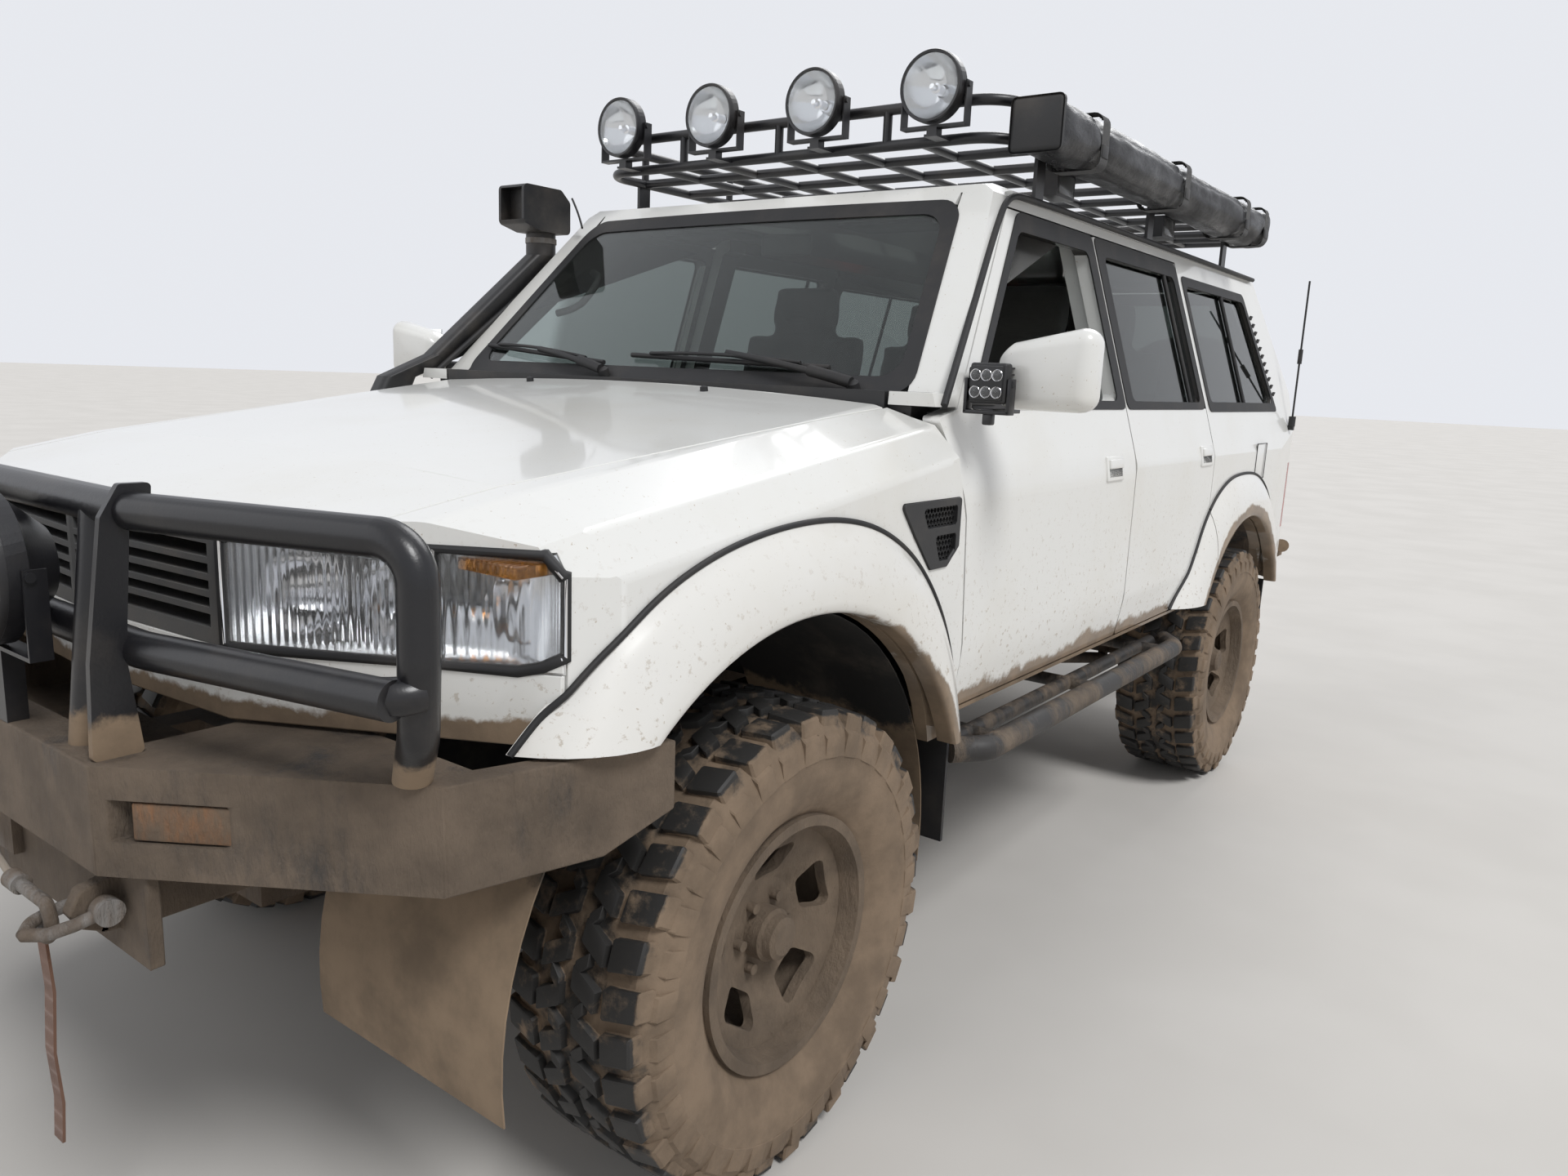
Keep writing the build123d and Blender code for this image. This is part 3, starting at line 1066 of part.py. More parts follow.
nodes = {
    "roof_panel": roof_panel(),
    "side_panel_left": [side],
    "side_panel_right": [other_side(side)],
    "floor_pan": floor_pan(),
    "cowl_panel": cowl_panel(),
    "front_wings": front_wings(),
    "front_panel": front_panel(),
    "grille": grille(),
    "front_lamps": front_lamps(),
    "side_vents": side_vents(),
    "wheel_flares": flares,
    "body_glass": body_glass(),
    "chassis_frame": chassis_frame(),
    "engine_block": engine_block(),
    "front_axle": live_axle(0, True),
    "rear_axle": live_axle(WHEELBASE, False),
    "suspension": suspension(),
    "drivetrain": drivetrain(),
    "tank_and_exhaust": tank_and_exhaust(),
    "seats": seats(),
    "dashboard": dashboard(),
    "bull_bar": bull_bar(),
    "front_bumper": front_bumper(),
    "winch": winch(),
    "shackle": shackle(),
    "winch_hook": winch_hook(),
    "winch_rope": [tube(ROPE_ROUTE, ROPE_RADIUS, ROPE_BEND)],
    "hook_strap": hook_strap(),
    "driving_lamps": lamps + work_lamps(),
    "snorkel": snorkel(),
    "roof_rack": roof_rack(),
    "awning_bag": awning_bag(),
    "side_steps": side_steps(),
    "rear_bumper": rear_bumper(),
    "tail_lamps": tail_lamps(),
    "mud_flaps": mud_flaps(),
    "antennas": antennas(),
    "bonnet": bonnet(),
    "steering_wheel": steering_wheel(),
    "door_front_left": [door_front, biggest(wing_mirror + mirror_lamp())],
    "door_front_right": [other_side(door_front), other_side(wing_mirror)],
    "door_rear_left": [door_rear],
    "door_rear_right": [other_side(door_rear)],
    "glass_front_right": [other_side(front_pane)],
    "glass_rear_left": [rear_pane],
    "glass_rear_right": [other_side(rear_pane)],
    "tail_door_left": [rear_doors[0], rear_panes[0], carrier],
    "tail_door_right": [rear_doors[1], rear_panes[1]],
}

left_knuckle = Pos(KINGPIN_X, st(0), TYRE_RADIUS) * knuckle()
nodes["knuckle_left"] = [left_knuckle]
nodes["knuckle_right"] = [other_side(left_knuckle)]

one_tyre, one_rim = tyre(), rim()
for corner, station in (("front", 0), ("rear", WHEELBASE)):
    place = Pos(TRACK_HALF, st(station), TYRE_RADIUS)
    for piece, name in ((one_tyre, "tyre"), (one_rim, "rim")):
        nodes[f"{name}_{corner}_left"] = [place * piece]
        nodes[f"{name}_{corner}_right"] = [other_side(place * piece)]

spare = Pos(SPARE_X, st(SPARE_STATION), SPARE_Z) * Rot(0, 0, 90)
nodes["spare_wheel"] = [spare * one_tyre, spare * one_rim]

print("winch_rope: rope radius", ROPE_RADIUS, "mm, its one arc's radius", ROPE_BEND, "mm")
for name, solids in nodes.items():
    save(name, solids)
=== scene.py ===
import json
import math
import bmesh
import bpy
from mathutils import Matrix, Vector, noise
from mathutils.bvhtree import BVHTree


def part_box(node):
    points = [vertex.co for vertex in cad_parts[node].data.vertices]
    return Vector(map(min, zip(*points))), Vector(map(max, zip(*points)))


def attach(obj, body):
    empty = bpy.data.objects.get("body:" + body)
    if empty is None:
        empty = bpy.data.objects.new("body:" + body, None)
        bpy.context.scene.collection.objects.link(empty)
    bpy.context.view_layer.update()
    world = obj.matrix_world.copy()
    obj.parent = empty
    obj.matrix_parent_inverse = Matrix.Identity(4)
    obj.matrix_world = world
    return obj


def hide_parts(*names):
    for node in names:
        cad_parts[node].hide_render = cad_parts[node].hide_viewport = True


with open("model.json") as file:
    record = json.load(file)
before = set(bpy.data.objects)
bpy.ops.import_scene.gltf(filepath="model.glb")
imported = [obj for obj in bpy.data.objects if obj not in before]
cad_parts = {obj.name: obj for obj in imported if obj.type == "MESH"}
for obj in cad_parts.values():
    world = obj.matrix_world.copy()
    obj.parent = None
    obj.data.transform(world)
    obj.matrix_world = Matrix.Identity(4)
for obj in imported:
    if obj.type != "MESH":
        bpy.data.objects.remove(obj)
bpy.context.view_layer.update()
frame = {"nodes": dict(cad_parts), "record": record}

# A lifted white 4x4, muddy below the waist, dressed over its CAD frame.
# Metres. Stations are distances behind the front axle, and st() turns one into Y.
FRONT_AXLE_Y = -1.56925
WHEELBASE = 2.85
HUB_Z = 0.4425
HALF_TRACK = 0.80
BODY_SIDE = 0.9125
DOOR_SKIN = 0.9158
GLASS_FOOT_Z = 1.3
RIM_RADIUS = 0.36
SHOULDER = 0.118
WIDE_ROLL = 0.045
SIDES = ((1, "left"), (-1, "right"))
ROPE_ROUTE = [(0, -0.8503, 0.720), (0, -0.955, 0.720), (0.104, -0.9714, 0.723), (0.2847, -1.000, 0.728)]


def st(station):
    return FRONT_AXLE_Y + station


def at(points, side=1):
    """Points given by x, station and height, put on one side of the vehicle."""
    return [(side * x, st(station), z) for x, station, z in points]


# Materials

OPERATIONS = {"+": "ADD", "-": "SUBTRACT", "*": "MULTIPLY"}


def feed(tree, target, value):
    """Links an input when the value is a socket, and else sets it."""
    if isinstance(value, bpy.types.NodeSocket):
        tree.links.new(value, target)
    else:
        target.default_value = value


def shader_node(tree, kind, inputs=None, **settings):
    made = tree.nodes.new(kind)
    for key, value in settings.items():
        setattr(made, key, value)
    for key, value in (inputs or {}).items():
        feed(tree, made.inputs[key], value)
    return made


class Finish:
    """A material with a Principled shader and short ways to add its nodes."""

    def __init__(self, name, color, rough, metal=0.0, coat=0.0, specular=0.5):
        self.material = bpy.data.materials.new(name)
        self.material.use_nodes = True
        self.tree = self.material.node_tree
        self.shader = self.tree.nodes["Principled BSDF"]
        self.color, self.rough = (*color, 1.0), rough
        for socket, value in (("Base Color", self.color), ("Roughness", rough), ("Metallic", metal),
                              ("Coat Weight", coat), ("Specular IOR Level", specular)):
            self.put(socket, value)
        self.here = self.add("ShaderNodeTexCoord").outputs["Object"]
        self.x, self.y, self.z = self.add("ShaderNodeSeparateXYZ", {0: self.here}).outputs

    def put(self, socket, value):
        feed(self.tree, self.shader.inputs[socket], value)

    def add(self, kind, inputs=None, **settings):
        return shader_node(self.tree, kind, inputs, **settings)

    def grain(self, scale, detail=4.0, rough=0.55, stretch=None):
        where = self.here
        if stretch:
            where = self.add("ShaderNodeMapping", {"Vector": where, "Scale": stretch}).outputs[0]
        return self.add("ShaderNodeTexNoise",
                        {"Vector": where, "Scale": scale, "Detail": detail, "Roughness": rough}).outputs["Fac"]

    def span(self, value, low, high, start=0.0, end=1.0):
        """Goes smoothly from start to end while the value goes from low to high."""
        return self.add("ShaderNodeMapRange", {0: value, 1: low, 2: high, 3: start, 4: end},
                        interpolation_type="SMOOTHSTEP").outputs[0]

    def calc(self, a, kind, b=0.0):
        return self.add("ShaderNodeMath", {0: a, 1: b}, operation=OPERATIONS.get(kind, kind)).outputs[0]

    def blend(self, amount, *colors):
        first, second = (c if isinstance(c, bpy.types.NodeSocket) else (*c[:3], 1.0) for c in colors)
        return self.add("ShaderNodeMix", {0: amount, 6: first, 7: second}, data_type="RGBA").outputs[2]

    def relief(self, height, depth, strength=1.0):
        bump = self.add("ShaderNodeBump", {"Height": height, "Distance": depth, "Strength": strength})
        self.put("Normal", bump.outputs[0])

    def from_hubs(self, height):
        """Distance from the nearer wheel's hub, seen from the side."""
        along = self.calc(self.calc(self.calc(self.y, "-", st(WHEELBASE / 2)), "ABSOLUTE"), "-", WHEELBASE / 2)
        up = self.calc(self.z, "-", height)
        return self.calc(self.calc(self.calc(along, "*", along), "+", self.calc(up, "*", up)), "SQRT")

    def patches(self, scale, rough):
        return self.calc(self.calc(self.grain(scale, 8.0, rough), "-", 0.5), "*", 1.5)

    def splash(self, full, clear, ring=0.0):
        """How muddy a point is: all of it below full, none above clear, and more round the wheels."""
        low = self.span(self.z, full, clear, 1.0, 0.0)
        if ring:
            low = self.calc(low, "MAXIMUM", self.span(self.from_hubs(SPLASH_HUB_Z), SPLASH_RADIUS,
                                                 SPLASH_RADIUS + ring, 0.85, 0.0))
        return self.span(self.calc(low, "+", self.patches(4.5, 0.68)), 0.42, 0.62)

    def dirty(self, mask, mud=(0.27, 0.195, 0.128), base=None, mud_rough=0.85, depth=0.0015, strength=0.5):
        """Mud over the base colour where the mask is one."""
        wet = self.blend(self.span(self.grain(9.0, 6.0, 0.6), 0.3, 0.7), [c * 0.62 for c in mud], mud)
        self.put("Base Color", self.blend(mask, base or self.color, wet))
        self.put("Roughness", self.add("ShaderNodeMapRange", {0: mask, 3: self.rough, 4: mud_rough}).outputs[0])
        if depth:
            self.relief(self.calc(self.grain(55.0, 6.0, 0.6), "*", mask), depth, strength)
        return self.material


CABIN_MIDDLE = (0.0, 0.2, 1.35)
SPLASH_HUB_Z = 0.45
SPLASH_RADIUS = 0.575


def paint(name, color, full, clear, ring, lined=False):
    """White coat with a dust film, specks and mud low down; lined turns the faces towards the cabin dark."""
    finish = Finish(name, color, 0.28, coat=0.6)
    finish.put("Coat Roughness", 0.06)
    film = finish.span(finish.grain(2.2, 7.0, 0.62), 0.42, 0.75, 0.0, 0.35)
    base = finish.blend(film, color, (color[0] * 0.86, color[1] * 0.82, color[2] * 0.74))
    specks = finish.span(finish.grain(160.0, 2.0, 0.5), 0.70, 0.76, 0.0, 0.6)
    base = finish.blend(specks, base, (0.42, 0.33, 0.23))
    low = finish.span(finish.z, 0.75, 1.35, 0.75, 0.0)
    spray = finish.calc(finish.span(finish.grain(60.0, 5.0, 0.7), 0.58, 0.66), "*", low)
    base = finish.blend(spray, base, (0.36, 0.28, 0.19))
    if lined:
        way = finish.add("ShaderNodeVectorMath", {0: finish.here, 1: CABIN_MIDDLE}, operation="SUBTRACT").outputs[0]
        facing = finish.add("ShaderNodeNewGeometry").outputs["True Normal"]
        inward = finish.add("ShaderNodeVectorMath", {0: way, 1: facing}, operation="DOT_PRODUCT").outputs["Value"]
        inside = finish.span(finish.calc(finish.x, "ABSOLUTE"), 0.898, 0.904, 1.0, 0.0)
        lining = finish.calc(inside, "*", finish.span(inward, -0.02, 0.0, 1.0, 0.0))
        base = finish.blend(lining, base, (0.075, 0.072, 0.068))
    return finish.dirty(finish.splash(full, clear, ring), base=base)


def coated(name, color, rough, dust, full=0.0, clear=0.01, fine=220.0):
    """Plastic or powder coat with a dust film and a fine grain."""
    finish = Finish(name, color, rough)
    film = finish.span(finish.grain(5.0, 7.0, 0.65), 0.45, 0.78, 0.0, dust)
    finish.relief(finish.grain(fine, 3.0, 0.6), 0.0006, 0.35)
    return finish.dirty(finish.splash(full, clear), base=finish.blend(film, color, (0.23, 0.19, 0.15)), depth=0)


def caked(name, under, mud, share, rough=0.55):
    """Steel mostly under dried mud, with streaks where it has run off."""
    finish = Finish(name, under, rough)
    runs = finish.grain(7.0, 8.0, 0.68, stretch=(1.0, 1.0, 0.32))
    mask = finish.span(finish.calc(runs, "+", share - 0.5), 0.40, 0.60)
    finish.relief(finish.calc(finish.grain(75.0, 8.0, 0.72, stretch=(1.0, 1.0, 0.30)), "*", mask), 0.010)
    return finish.dirty(mask, mud=mud, mud_rough=0.8, depth=0)


def glassy(name, color, rough, see_through, ior=1.45):
    finish = Finish(name, color, rough)
    finish.put("Transmission Weight", see_through)
    finish.put("IOR", ior)
    return finish


def plain_metal(name, color, rough):
    finish = Finish(name, color, rough, metal=1.0)
    finish.put("Roughness", finish.span(finish.grain(18.0, 5.0), 0.3, 0.7, rough * 0.7, rough * 1.4))
    return finish.material


def fluted_lens(name, pitch, color=(0.93, 0.94, 0.95), strength=0.35):
    finish = glassy(name, color, 0.08, 0.95)
    finish.relief(finish.calc(finish.calc(finish.x, "*", math.tau / pitch), "SINE"), 0.0010, strength)
    finish.put("Roughness", finish.span(finish.grain(6.0, 6.0), 0.35, 0.8, 0.05, 0.32))
    return finish.material


def window_glass(name):
    """Clear glass in front, tinted behind the front doors."""
    finish = glassy(name, (0.62, 0.68, 0.66), 0.02, 0.99, 1.36)
    behind = finish.span(finish.y, -0.62, -0.55)
    finish.put("Base Color", finish.blend(behind, (0.52, 0.57, 0.555), (0.20, 0.225, 0.215)))
    finish.put("Roughness", finish.span(finish.grain(3.0, 7.0, 0.7), 0.6, 0.9, 0.0, 0.05))
    return finish.material


def tyre_rubber():
    """Tread and sidewalls of the four tyres, muddy at the rim, the shoulders and the tread."""
    finish = Finish("tyre_rubber", (0.022, 0.021, 0.020), 0.62)
    across = finish.calc(finish.calc(finish.calc(finish.x, "ABSOLUTE"), "-", HALF_TRACK), "ABSOLUTE")
    mud = finish.span(across, 0.135, 0.152, 0.30, 0.95)
    radius = finish.from_hubs(HUB_Z)
    for inner, outer, most in ((0.340, 0.375, 1.1), (0.424, 0.438, 0.62)):
        mud = finish.calc(mud, "MAXIMUM", finish.span(radius, inner, outer, most, 0.0))
    mask = finish.span(finish.calc(mud, "+", finish.patches(14.0, 0.65)), 0.35, 0.65)
    return finish.dirty(mask, mud=(0.235, 0.17, 0.115), depth=0.003, strength=0.6)


def spare_rubber():
    finish = Finish("spare_rubber", (0.026, 0.025, 0.024), 0.65)
    return finish.dirty(finish.span(finish.grain(9.0, 8.0, 0.65), 0.50, 0.72), mud=(0.22, 0.165, 0.115))


def woven(name, color, pitch):
    """Cloth with a fine cross weave."""
    finish = Finish(name, color, 0.85)
    warp, weft = (finish.calc(finish.calc(way, "*", math.tau / pitch), "SINE")
                  for way in (finish.calc(finish.x, "+", finish.z), finish.y))
    worn = finish.span(finish.grain(6.0, 6.0), 0.3, 0.75)
    finish.put("Base Color", finish.blend(worn, color, [c * 0.6 for c in color]))
    finish.put("Sheen Weight", 0.25)
    finish.relief(finish.calc(warp, "*", weft), pitch * 0.4, 0.5)
    return finish.material


def bag_vinyl():
    """Coated canvas of the awning bag, with dust in its creases."""
    finish = Finish("bag_vinyl", (0.012, 0.012, 0.014), 0.30, specular=0.4)
    creases = finish.grain(9.0, 7.0, 0.62, stretch=(1.0, 0.45, 1.0))
    finish.put("Base Color", finish.blend(finish.span(creases, 0.55, 0.90, 0.0, 0.15), finish.color,
                                          (0.09, 0.086, 0.08)))
    finish.put("Roughness", finish.span(creases, 0.35, 0.7, 0.26, 0.55))
    finish.relief(finish.calc(creases, "+", finish.calc(finish.grain(700.0, 2.0), "*", 0.05)), 0.014, 0.75)
    return finish.material


WHITE = (0.80, 0.80, 0.775)
white_paint = paint("white_paint", WHITE, 0.70, 0.86, 0.10)
cabin_paint = paint("cabin_paint", WHITE, 0.70, 0.86, 0.10, lined=True)
nose_paint = paint("nose_paint", WHITE, 0.925, 1.015, 0.10)
flare_paint = paint("flare_paint", (0.78, 0.77, 0.735), 0.66, 0.80, 0.075)
black_coat = coated("black_coat", (0.009, 0.009, 0.011), 0.30, 0.14, 0.90, 1.06)
rack_coat = coated("rack_coat", (0.010, 0.010, 0.012), 0.36, 0.12)
black_plastic = coated("black_plastic", (0.016, 0.016, 0.017), 0.52, 0.15)
snorkel_plastic = coated("snorkel_plastic", (0.012, 0.012, 0.013), 0.46, 0.20, fine=520.0)
seal_rubber = coated("seal_rubber", (0.011, 0.011, 0.012), 0.62, 0.10)
liner_plastic = coated("liner_plastic", (0.020, 0.019, 0.018), 0.8, 0.4, 0.62, 0.86)
bumper_mud = caked("bumper_mud", (0.03, 0.028, 0.027), (0.205, 0.155, 0.112), 0.62)
step_mud = caked("step_mud", (0.028, 0.026, 0.025), (0.22, 0.17, 0.125), 0.45)
frame_mud = caked("frame_mud", (0.035, 0.032, 0.03), (0.16, 0.115, 0.08), 0.55, 0.7)
rim_mud = caked("rim_mud", (0.17, 0.155, 0.14), (0.215, 0.16, 0.112), 0.78, 0.45)
hub_mud = caked("hub_mud", (0.05, 0.045, 0.04), (0.15, 0.11, 0.075), 0.62, 0.5)
worn_steel = caked("worn_steel", (0.20, 0.19, 0.18), (0.22, 0.165, 0.12), 0.50, 0.4)
chrome = plain_metal("chrome", (0.78, 0.78, 0.79), 0.10)
reflector = plain_metal("reflector", (0.70, 0.71, 0.72), 0.16)
lens_flutes = fluted_lens("lens_flutes", 0.011, strength=0.55)
corner_flutes = fluted_lens("corner_flutes", 0.016, strength=0.9)
lamp_glass = fluted_lens("lamp_glass", 0.018)
clear_glass = glassy("clear_glass", (0.95, 0.96, 0.97), 0.03, 0.97).material
windows = window_glass("windows")
amber = fluted_lens("amber", 0.010, (0.95, 0.42, 0.10))
pocket_lens = caked("pocket_lens", (0.30, 0.115, 0.03), (0.22, 0.16, 0.11), 0.60, 0.4)
red_lens = fluted_lens("red_lens", 0.012, (0.60, 0.03, 0.02))
mirror_glass = plain_metal("mirror_glass", (0.80, 0.82, 0.83), 0.03)
grille_grey = coated("grille_grey", (0.10, 0.10, 0.10), 0.45, 0.45)
dash_plastic = coated("dash_plastic", (0.085, 0.083, 0.080), 0.65, 0.20, fine=420.0)
seat_cloth = woven("seat_cloth", (0.115, 0.108, 0.10), 0.0042)
rope_fibre = woven("rope_fibre", (0.28, 0.225, 0.165), 0.004)
strap_web = woven("strap_web", (0.20, 0.095, 0.055), 0.0032)
bag_web = woven("bag_web", (0.025, 0.025, 0.026), 0.0034)
bag_skin = bag_vinyl()
tread_rubber = tyre_rubber()
spare_tread = spare_rubber()


# Shapes


def placed(name, data):
    made = bpy.data.objects.new(name, data)
    bpy.context.scene.collection.objects.link(made)
    return made


def stored(name, bm):
    """A mesh made from a bmesh, which is used up."""
    mesh = bpy.data.meshes.new(name)
    bm.to_mesh(mesh)
    bm.free()
    return mesh


def piece(name, bm, material, smooth=35.0, body="vehicle"):
    """A piece at the origin from a bmesh, with smooth faces below the given angle."""
    bm.normal_update()
    mesh = stored(name, bm)
    for material_used in material if isinstance(material, list) else [material]:
        mesh.materials.append(material_used)
    mesh.shade_smooth()
    mesh.set_sharp_from_angle(angle=math.radians(smooth))
    made = placed(name, mesh)
    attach(made, body)
    return made


def everything(bm):
    return bm.verts[:] + bm.edges[:] + bm.faces[:]


def keep_faces(bm, wanted):
    bmesh.ops.delete(bm, geom=[f for f in bm.faces if not wanted(f)], context="FACES")


def slice_off(bm, point, normal):
    """Takes away what lies on the normal's side of a plane."""
    bmesh.ops.bisect_plane(bm, geom=everything(bm), plane_co=point, plane_no=normal, clear_outer=True)


def thicken(bm, by):
    bmesh.ops.solidify(bm, geom=bm.faces[:], thickness=by)
    return bm


def face_outward(bm):
    bmesh.ops.recalc_face_normals(bm, faces=bm.faces[:])


def bevelled(bm, geom, by, segments, affect="EDGES", clamp=False):
    return bmesh.ops.bevel(bm, geom=geom, offset=by, segments=segments, profile=0.5, affect=affect, material=-1,
                           clamp_overlap=clamp)


def edges_of(verts):
    return list({e for v in verts for e in v.link_edges})


def merged(node):
    """A bmesh copy of a CAD node with its triangles joined into flat faces."""
    bm = bmesh.new()
    bm.from_mesh(frame["nodes"][node].data)
    for face in bm.faces:
        face.material_index = 0
    bmesh.ops.remove_doubles(bm, verts=bm.verts[:], dist=2e-5)
    bmesh.ops.dissolve_degenerate(bm, edges=bm.edges[:], dist=1e-5)
    bmesh.ops.dissolve_limit(bm, angle_limit=math.radians(0.6), verts=bm.verts[:], edges=bm.edges[:])
    return bm


def islands(bm):
    """The faces of each separate shell."""
    left, found = set(bm.faces), []
    while left:
        stack, shell = [left.pop()], []
        while stack:
            face = stack.pop()
            shell.append(face)
            for edge in face.edges:
                for other in edge.link_faces:
                    if other in left:
                        left.discard(other)
                        stack.append(other)
        found.append(shell)
    return found


def drop_shells(bm, unwanted):
    """Takes away the shells whose points pass a test."""
    for shell in islands(bm):
        if unwanted([v.co for f in shell for v in f.verts]):
            bmesh.ops.delete(bm, geom=shell, context="FACES")
    return bm


def body_of(node):
    for body, members in frame["record"]["behaviour"]["bodies"].items():
        if node in members:
            return body


def softened(node, material, width=0.003, bm=None, segments=2, angle=28.0, name=None):
    """A copy of a CAD node with rounded edges, which stands for it."""
    made = piece(name or node + "_skin", bm or merged(node), material, smooth=angle, body=body_of(node))
    rounding = made.modifiers.new("rounded", "BEVEL")
    rounding.width = width
    rounding.segments = segments
    rounding.limit_method = "ANGLE"
    rounding.angle_limit = math.radians(angle)
    made.modifiers.new("even_shading", "WEIGHTED_NORMAL").keep_sharp = True
    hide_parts(node)


def add_block(bm, x0, x1, y0, y1, z0, z1, round_by=0.0, segments=2, turn=None):
    """A block between stations y0 and y1, with rounded edges."""
    place = Matrix.Translation(((x0 + x1) / 2, st((y0 + y1) / 2), (z0 + z1) / 2))
    size = Matrix.Diagonal((abs(x1 - x0), abs(y1 - y0), abs(z1 - z0), 1))
    made = bmesh.ops.create_cube(bm, size=1, matrix=place @ (turn or Matrix()) @ size)["verts"]
    if round_by:
        bevelled(bm, edges_of(made), round_by, segments)


def block_piece(name, material, slot, *blocks, side=1, body="vehicle"):
    """A piece of blocks, each given as add_block takes it, with x counted towards one side."""
    bm = bmesh.new()
    for x0, x1, *rest in blocks:
        add_block(bm, side * x0, side * x1, *rest)
    piece(name, bm, material, body=body)


def turned(profile, centre, axis, steps):
    """A bmesh surface turned about an axis through centre; profile is (along, radius) pairs."""
    bm = bmesh.new()
    row = [bm.verts.new((along, 0, radius)) for along, radius in profile]
    edges = [bm.edges.new(pair) for pair in zip(row, row[1:])]
    bmesh.ops.spin(bm, geom=row + edges, cent=(0, 0, 0), axis=(1, 0, 0), angle=math.tau, steps=steps,
                   use_merge=True)
    bmesh.ops.remove_doubles(bm, verts=bm.verts[:], dist=1e-5)
    face_outward(bm)
    way = Vector((1, 0, 0)).rotation_difference(Vector(axis)).to_matrix().to_4x4()
    bmesh.ops.transform(bm, matrix=Matrix.Translation(centre) @ way, verts=bm.verts[:])
    return bm


def turned_piece(name, material, slot, profile, centre, axis, steps, wall=0.0, body="vehicle"):
    bm = turned(profile, centre, axis, steps)
    piece(name, thicken(bm, wall) if wall else bm, material, body=body)


def add_to(bm, other):
    """Puts another bmesh into bm."""
    mesh = stored("joining", other)
    bm.from_mesh(mesh)
    bpy.data.meshes.remove(mesh)


def bar_curve(name, points, radius, closed=False, smooth=True, steps=8, sides=2):
    curve = bpy.data.curves.new(name, "CURVE")
    curve.dimensions = "3D"
    spline = curve.splines.new("NURBS" if smooth else "POLY")
    spline.points.add(len(points) - 1)
    for point, place in zip(spline.points, points):
        point.co = (*place, 1)
    if smooth:
        spline.order_u = 3
        spline.use_endpoint_u = not closed
        spline.resolution_u = steps
    spline.use_cyclic_u = closed
    curve.bevel_depth = radius
    curve.bevel_resolution = sides
    curve.use_fill_caps = True
    return curve


def run(name, points, radius, material, slot=None, body="vehicle", **more):
    """A round bar, hose or seal through points, as a mesh."""
    holder = placed(name + "_line", bar_curve(name, points, radius, **more))
    mesh = bpy.data.meshes.new_from_object(holder)
    bpy.data.objects.remove(holder)
    bm = bmesh.new()
    bm.from_mesh(mesh)
    bpy.data.meshes.remove(mesh)
    piece(name, bm, material, 50, body)


def seal(name, points, radius, body="vehicle", **more):
    run(name, points, radius, seal_rubber, "black_plastic", body, **more)


def tumble(z, lift=0.0):
    """X of the body side above the belt at a height."""
    return 0.866 - 0.31456 * (z - 1.41) + lift


# Wheels

LUG_PITCH = math.tau / 18
# Start in pitches, inner and outer x, both ends in pitches, foot and top radius, skew.
LUGS = [
    (0.0, 0.074, 0.150, 0.05, 0.42, 0.414, 0.4418, 0.03), (0.0, 0.138, 0.1572, 0.06, 0.40, 0.374, 0.418, 0.0),
    (0.5, 0.074, 0.141, 0.05, 0.42, 0.414, 0.4418, 0.03), (0.5, 0.138, 0.1572, 0.06, 0.40, 0.374, 0.412, 0.0),
    (0.10, 0.006, 0.064, 0.0, 0.27, 0.424, 0.4422, -0.06), (0.10, 0.010, 0.040, 0.29, 0.47, 0.424, 0.4415, 0.05),
    (0.60, 0.012, 0.069, 0.0, 0.27, 0.424, 0.4422, -0.06), (0.60, 0.016, 0.040, 0.29, 0.47, 0.424, 0.4415, 0.05),
]


def tread_lug(bm, x0, x1, a0, a1, low, high, skew):
    """A tread block between two x and two angles, narrower at its top and lower at the shoulder."""
    made = bmesh.ops.create_cube(bm, size=1)["verts"]
    cut = bevelled(bm, edges_of(made), 0.06, 1)
    for v in set(cut["verts"]) | {v for v in made if v.is_valid}:
        u, w, h = v.co.x + 0.5, v.co.y + 0.5, v.co.z + 0.5
        pinch = 1.0 - 0.10 * h
        x = (x0 + x1) / 2 + (x1 - x0) * (u - 0.5) * pinch
        turn = (a0 + a1) / 2 + (a1 - a0) * (w - 0.5) * pinch + skew * (u - 0.5)
        fall = max(0.0, abs(x) - SHOULDER)
        radius = low + (high - low) * h - fall * fall * 14
        v.co = Vector((x, radius * math.sin(turn), radius * math.cos(turn)))


def mud_terrain():
    """A mud tyre about its own centre, turning about X."""
    half = [(0.112, 0.2283), (0.116, 0.242), (0.134, 0.262), (0.149, 0.296), (0.1555, 0.330), (0.1545, 0.352),
            (0.1565, 0.356), (0.1550, 0.364), (0.1515, 0.385), (0.143, 0.408), (0.126, 0.423), (0.05, 0.428)]
    section = half + [(-x, r) for x, r in reversed(half)]
    bm = turned(section, (0, 0, 0), (1, 0, 0), 72)
    lugs = bmesh.new()
    for side in (-1, 1):
        lead = 0.0 if side > 0 else LUG_PITCH * 0.25
        for start, inner, outer, front, back, low, high, skew in LUGS:
            a = lead + LUG_PITCH * start
            tread_lug(lugs, *sorted((side * inner, side * outer)), a + LUG_PITCH * front, a + LUG_PITCH * back,
                      low, high, side * skew)
    bmesh.ops.spin(lugs, geom=everything(lugs), cent=(0, 0, 0), axis=(1, 0, 0), angle=math.tau, steps=18,
                   use_duplicate=True)
    bmesh.ops.remove_doubles(lugs, verts=lugs.verts[:], dist=1e-5)
    add_to(bm, lugs)
    return stored("tyre_shape", bm)


def mounted(name, body, material, move):
    bm = bmesh.new()
    bm.from_mesh(tyre_mesh)
    bmesh.ops.transform(bm, matrix=move, verts=bm.verts[:])
    return piece(name, bm, material, 30, body)


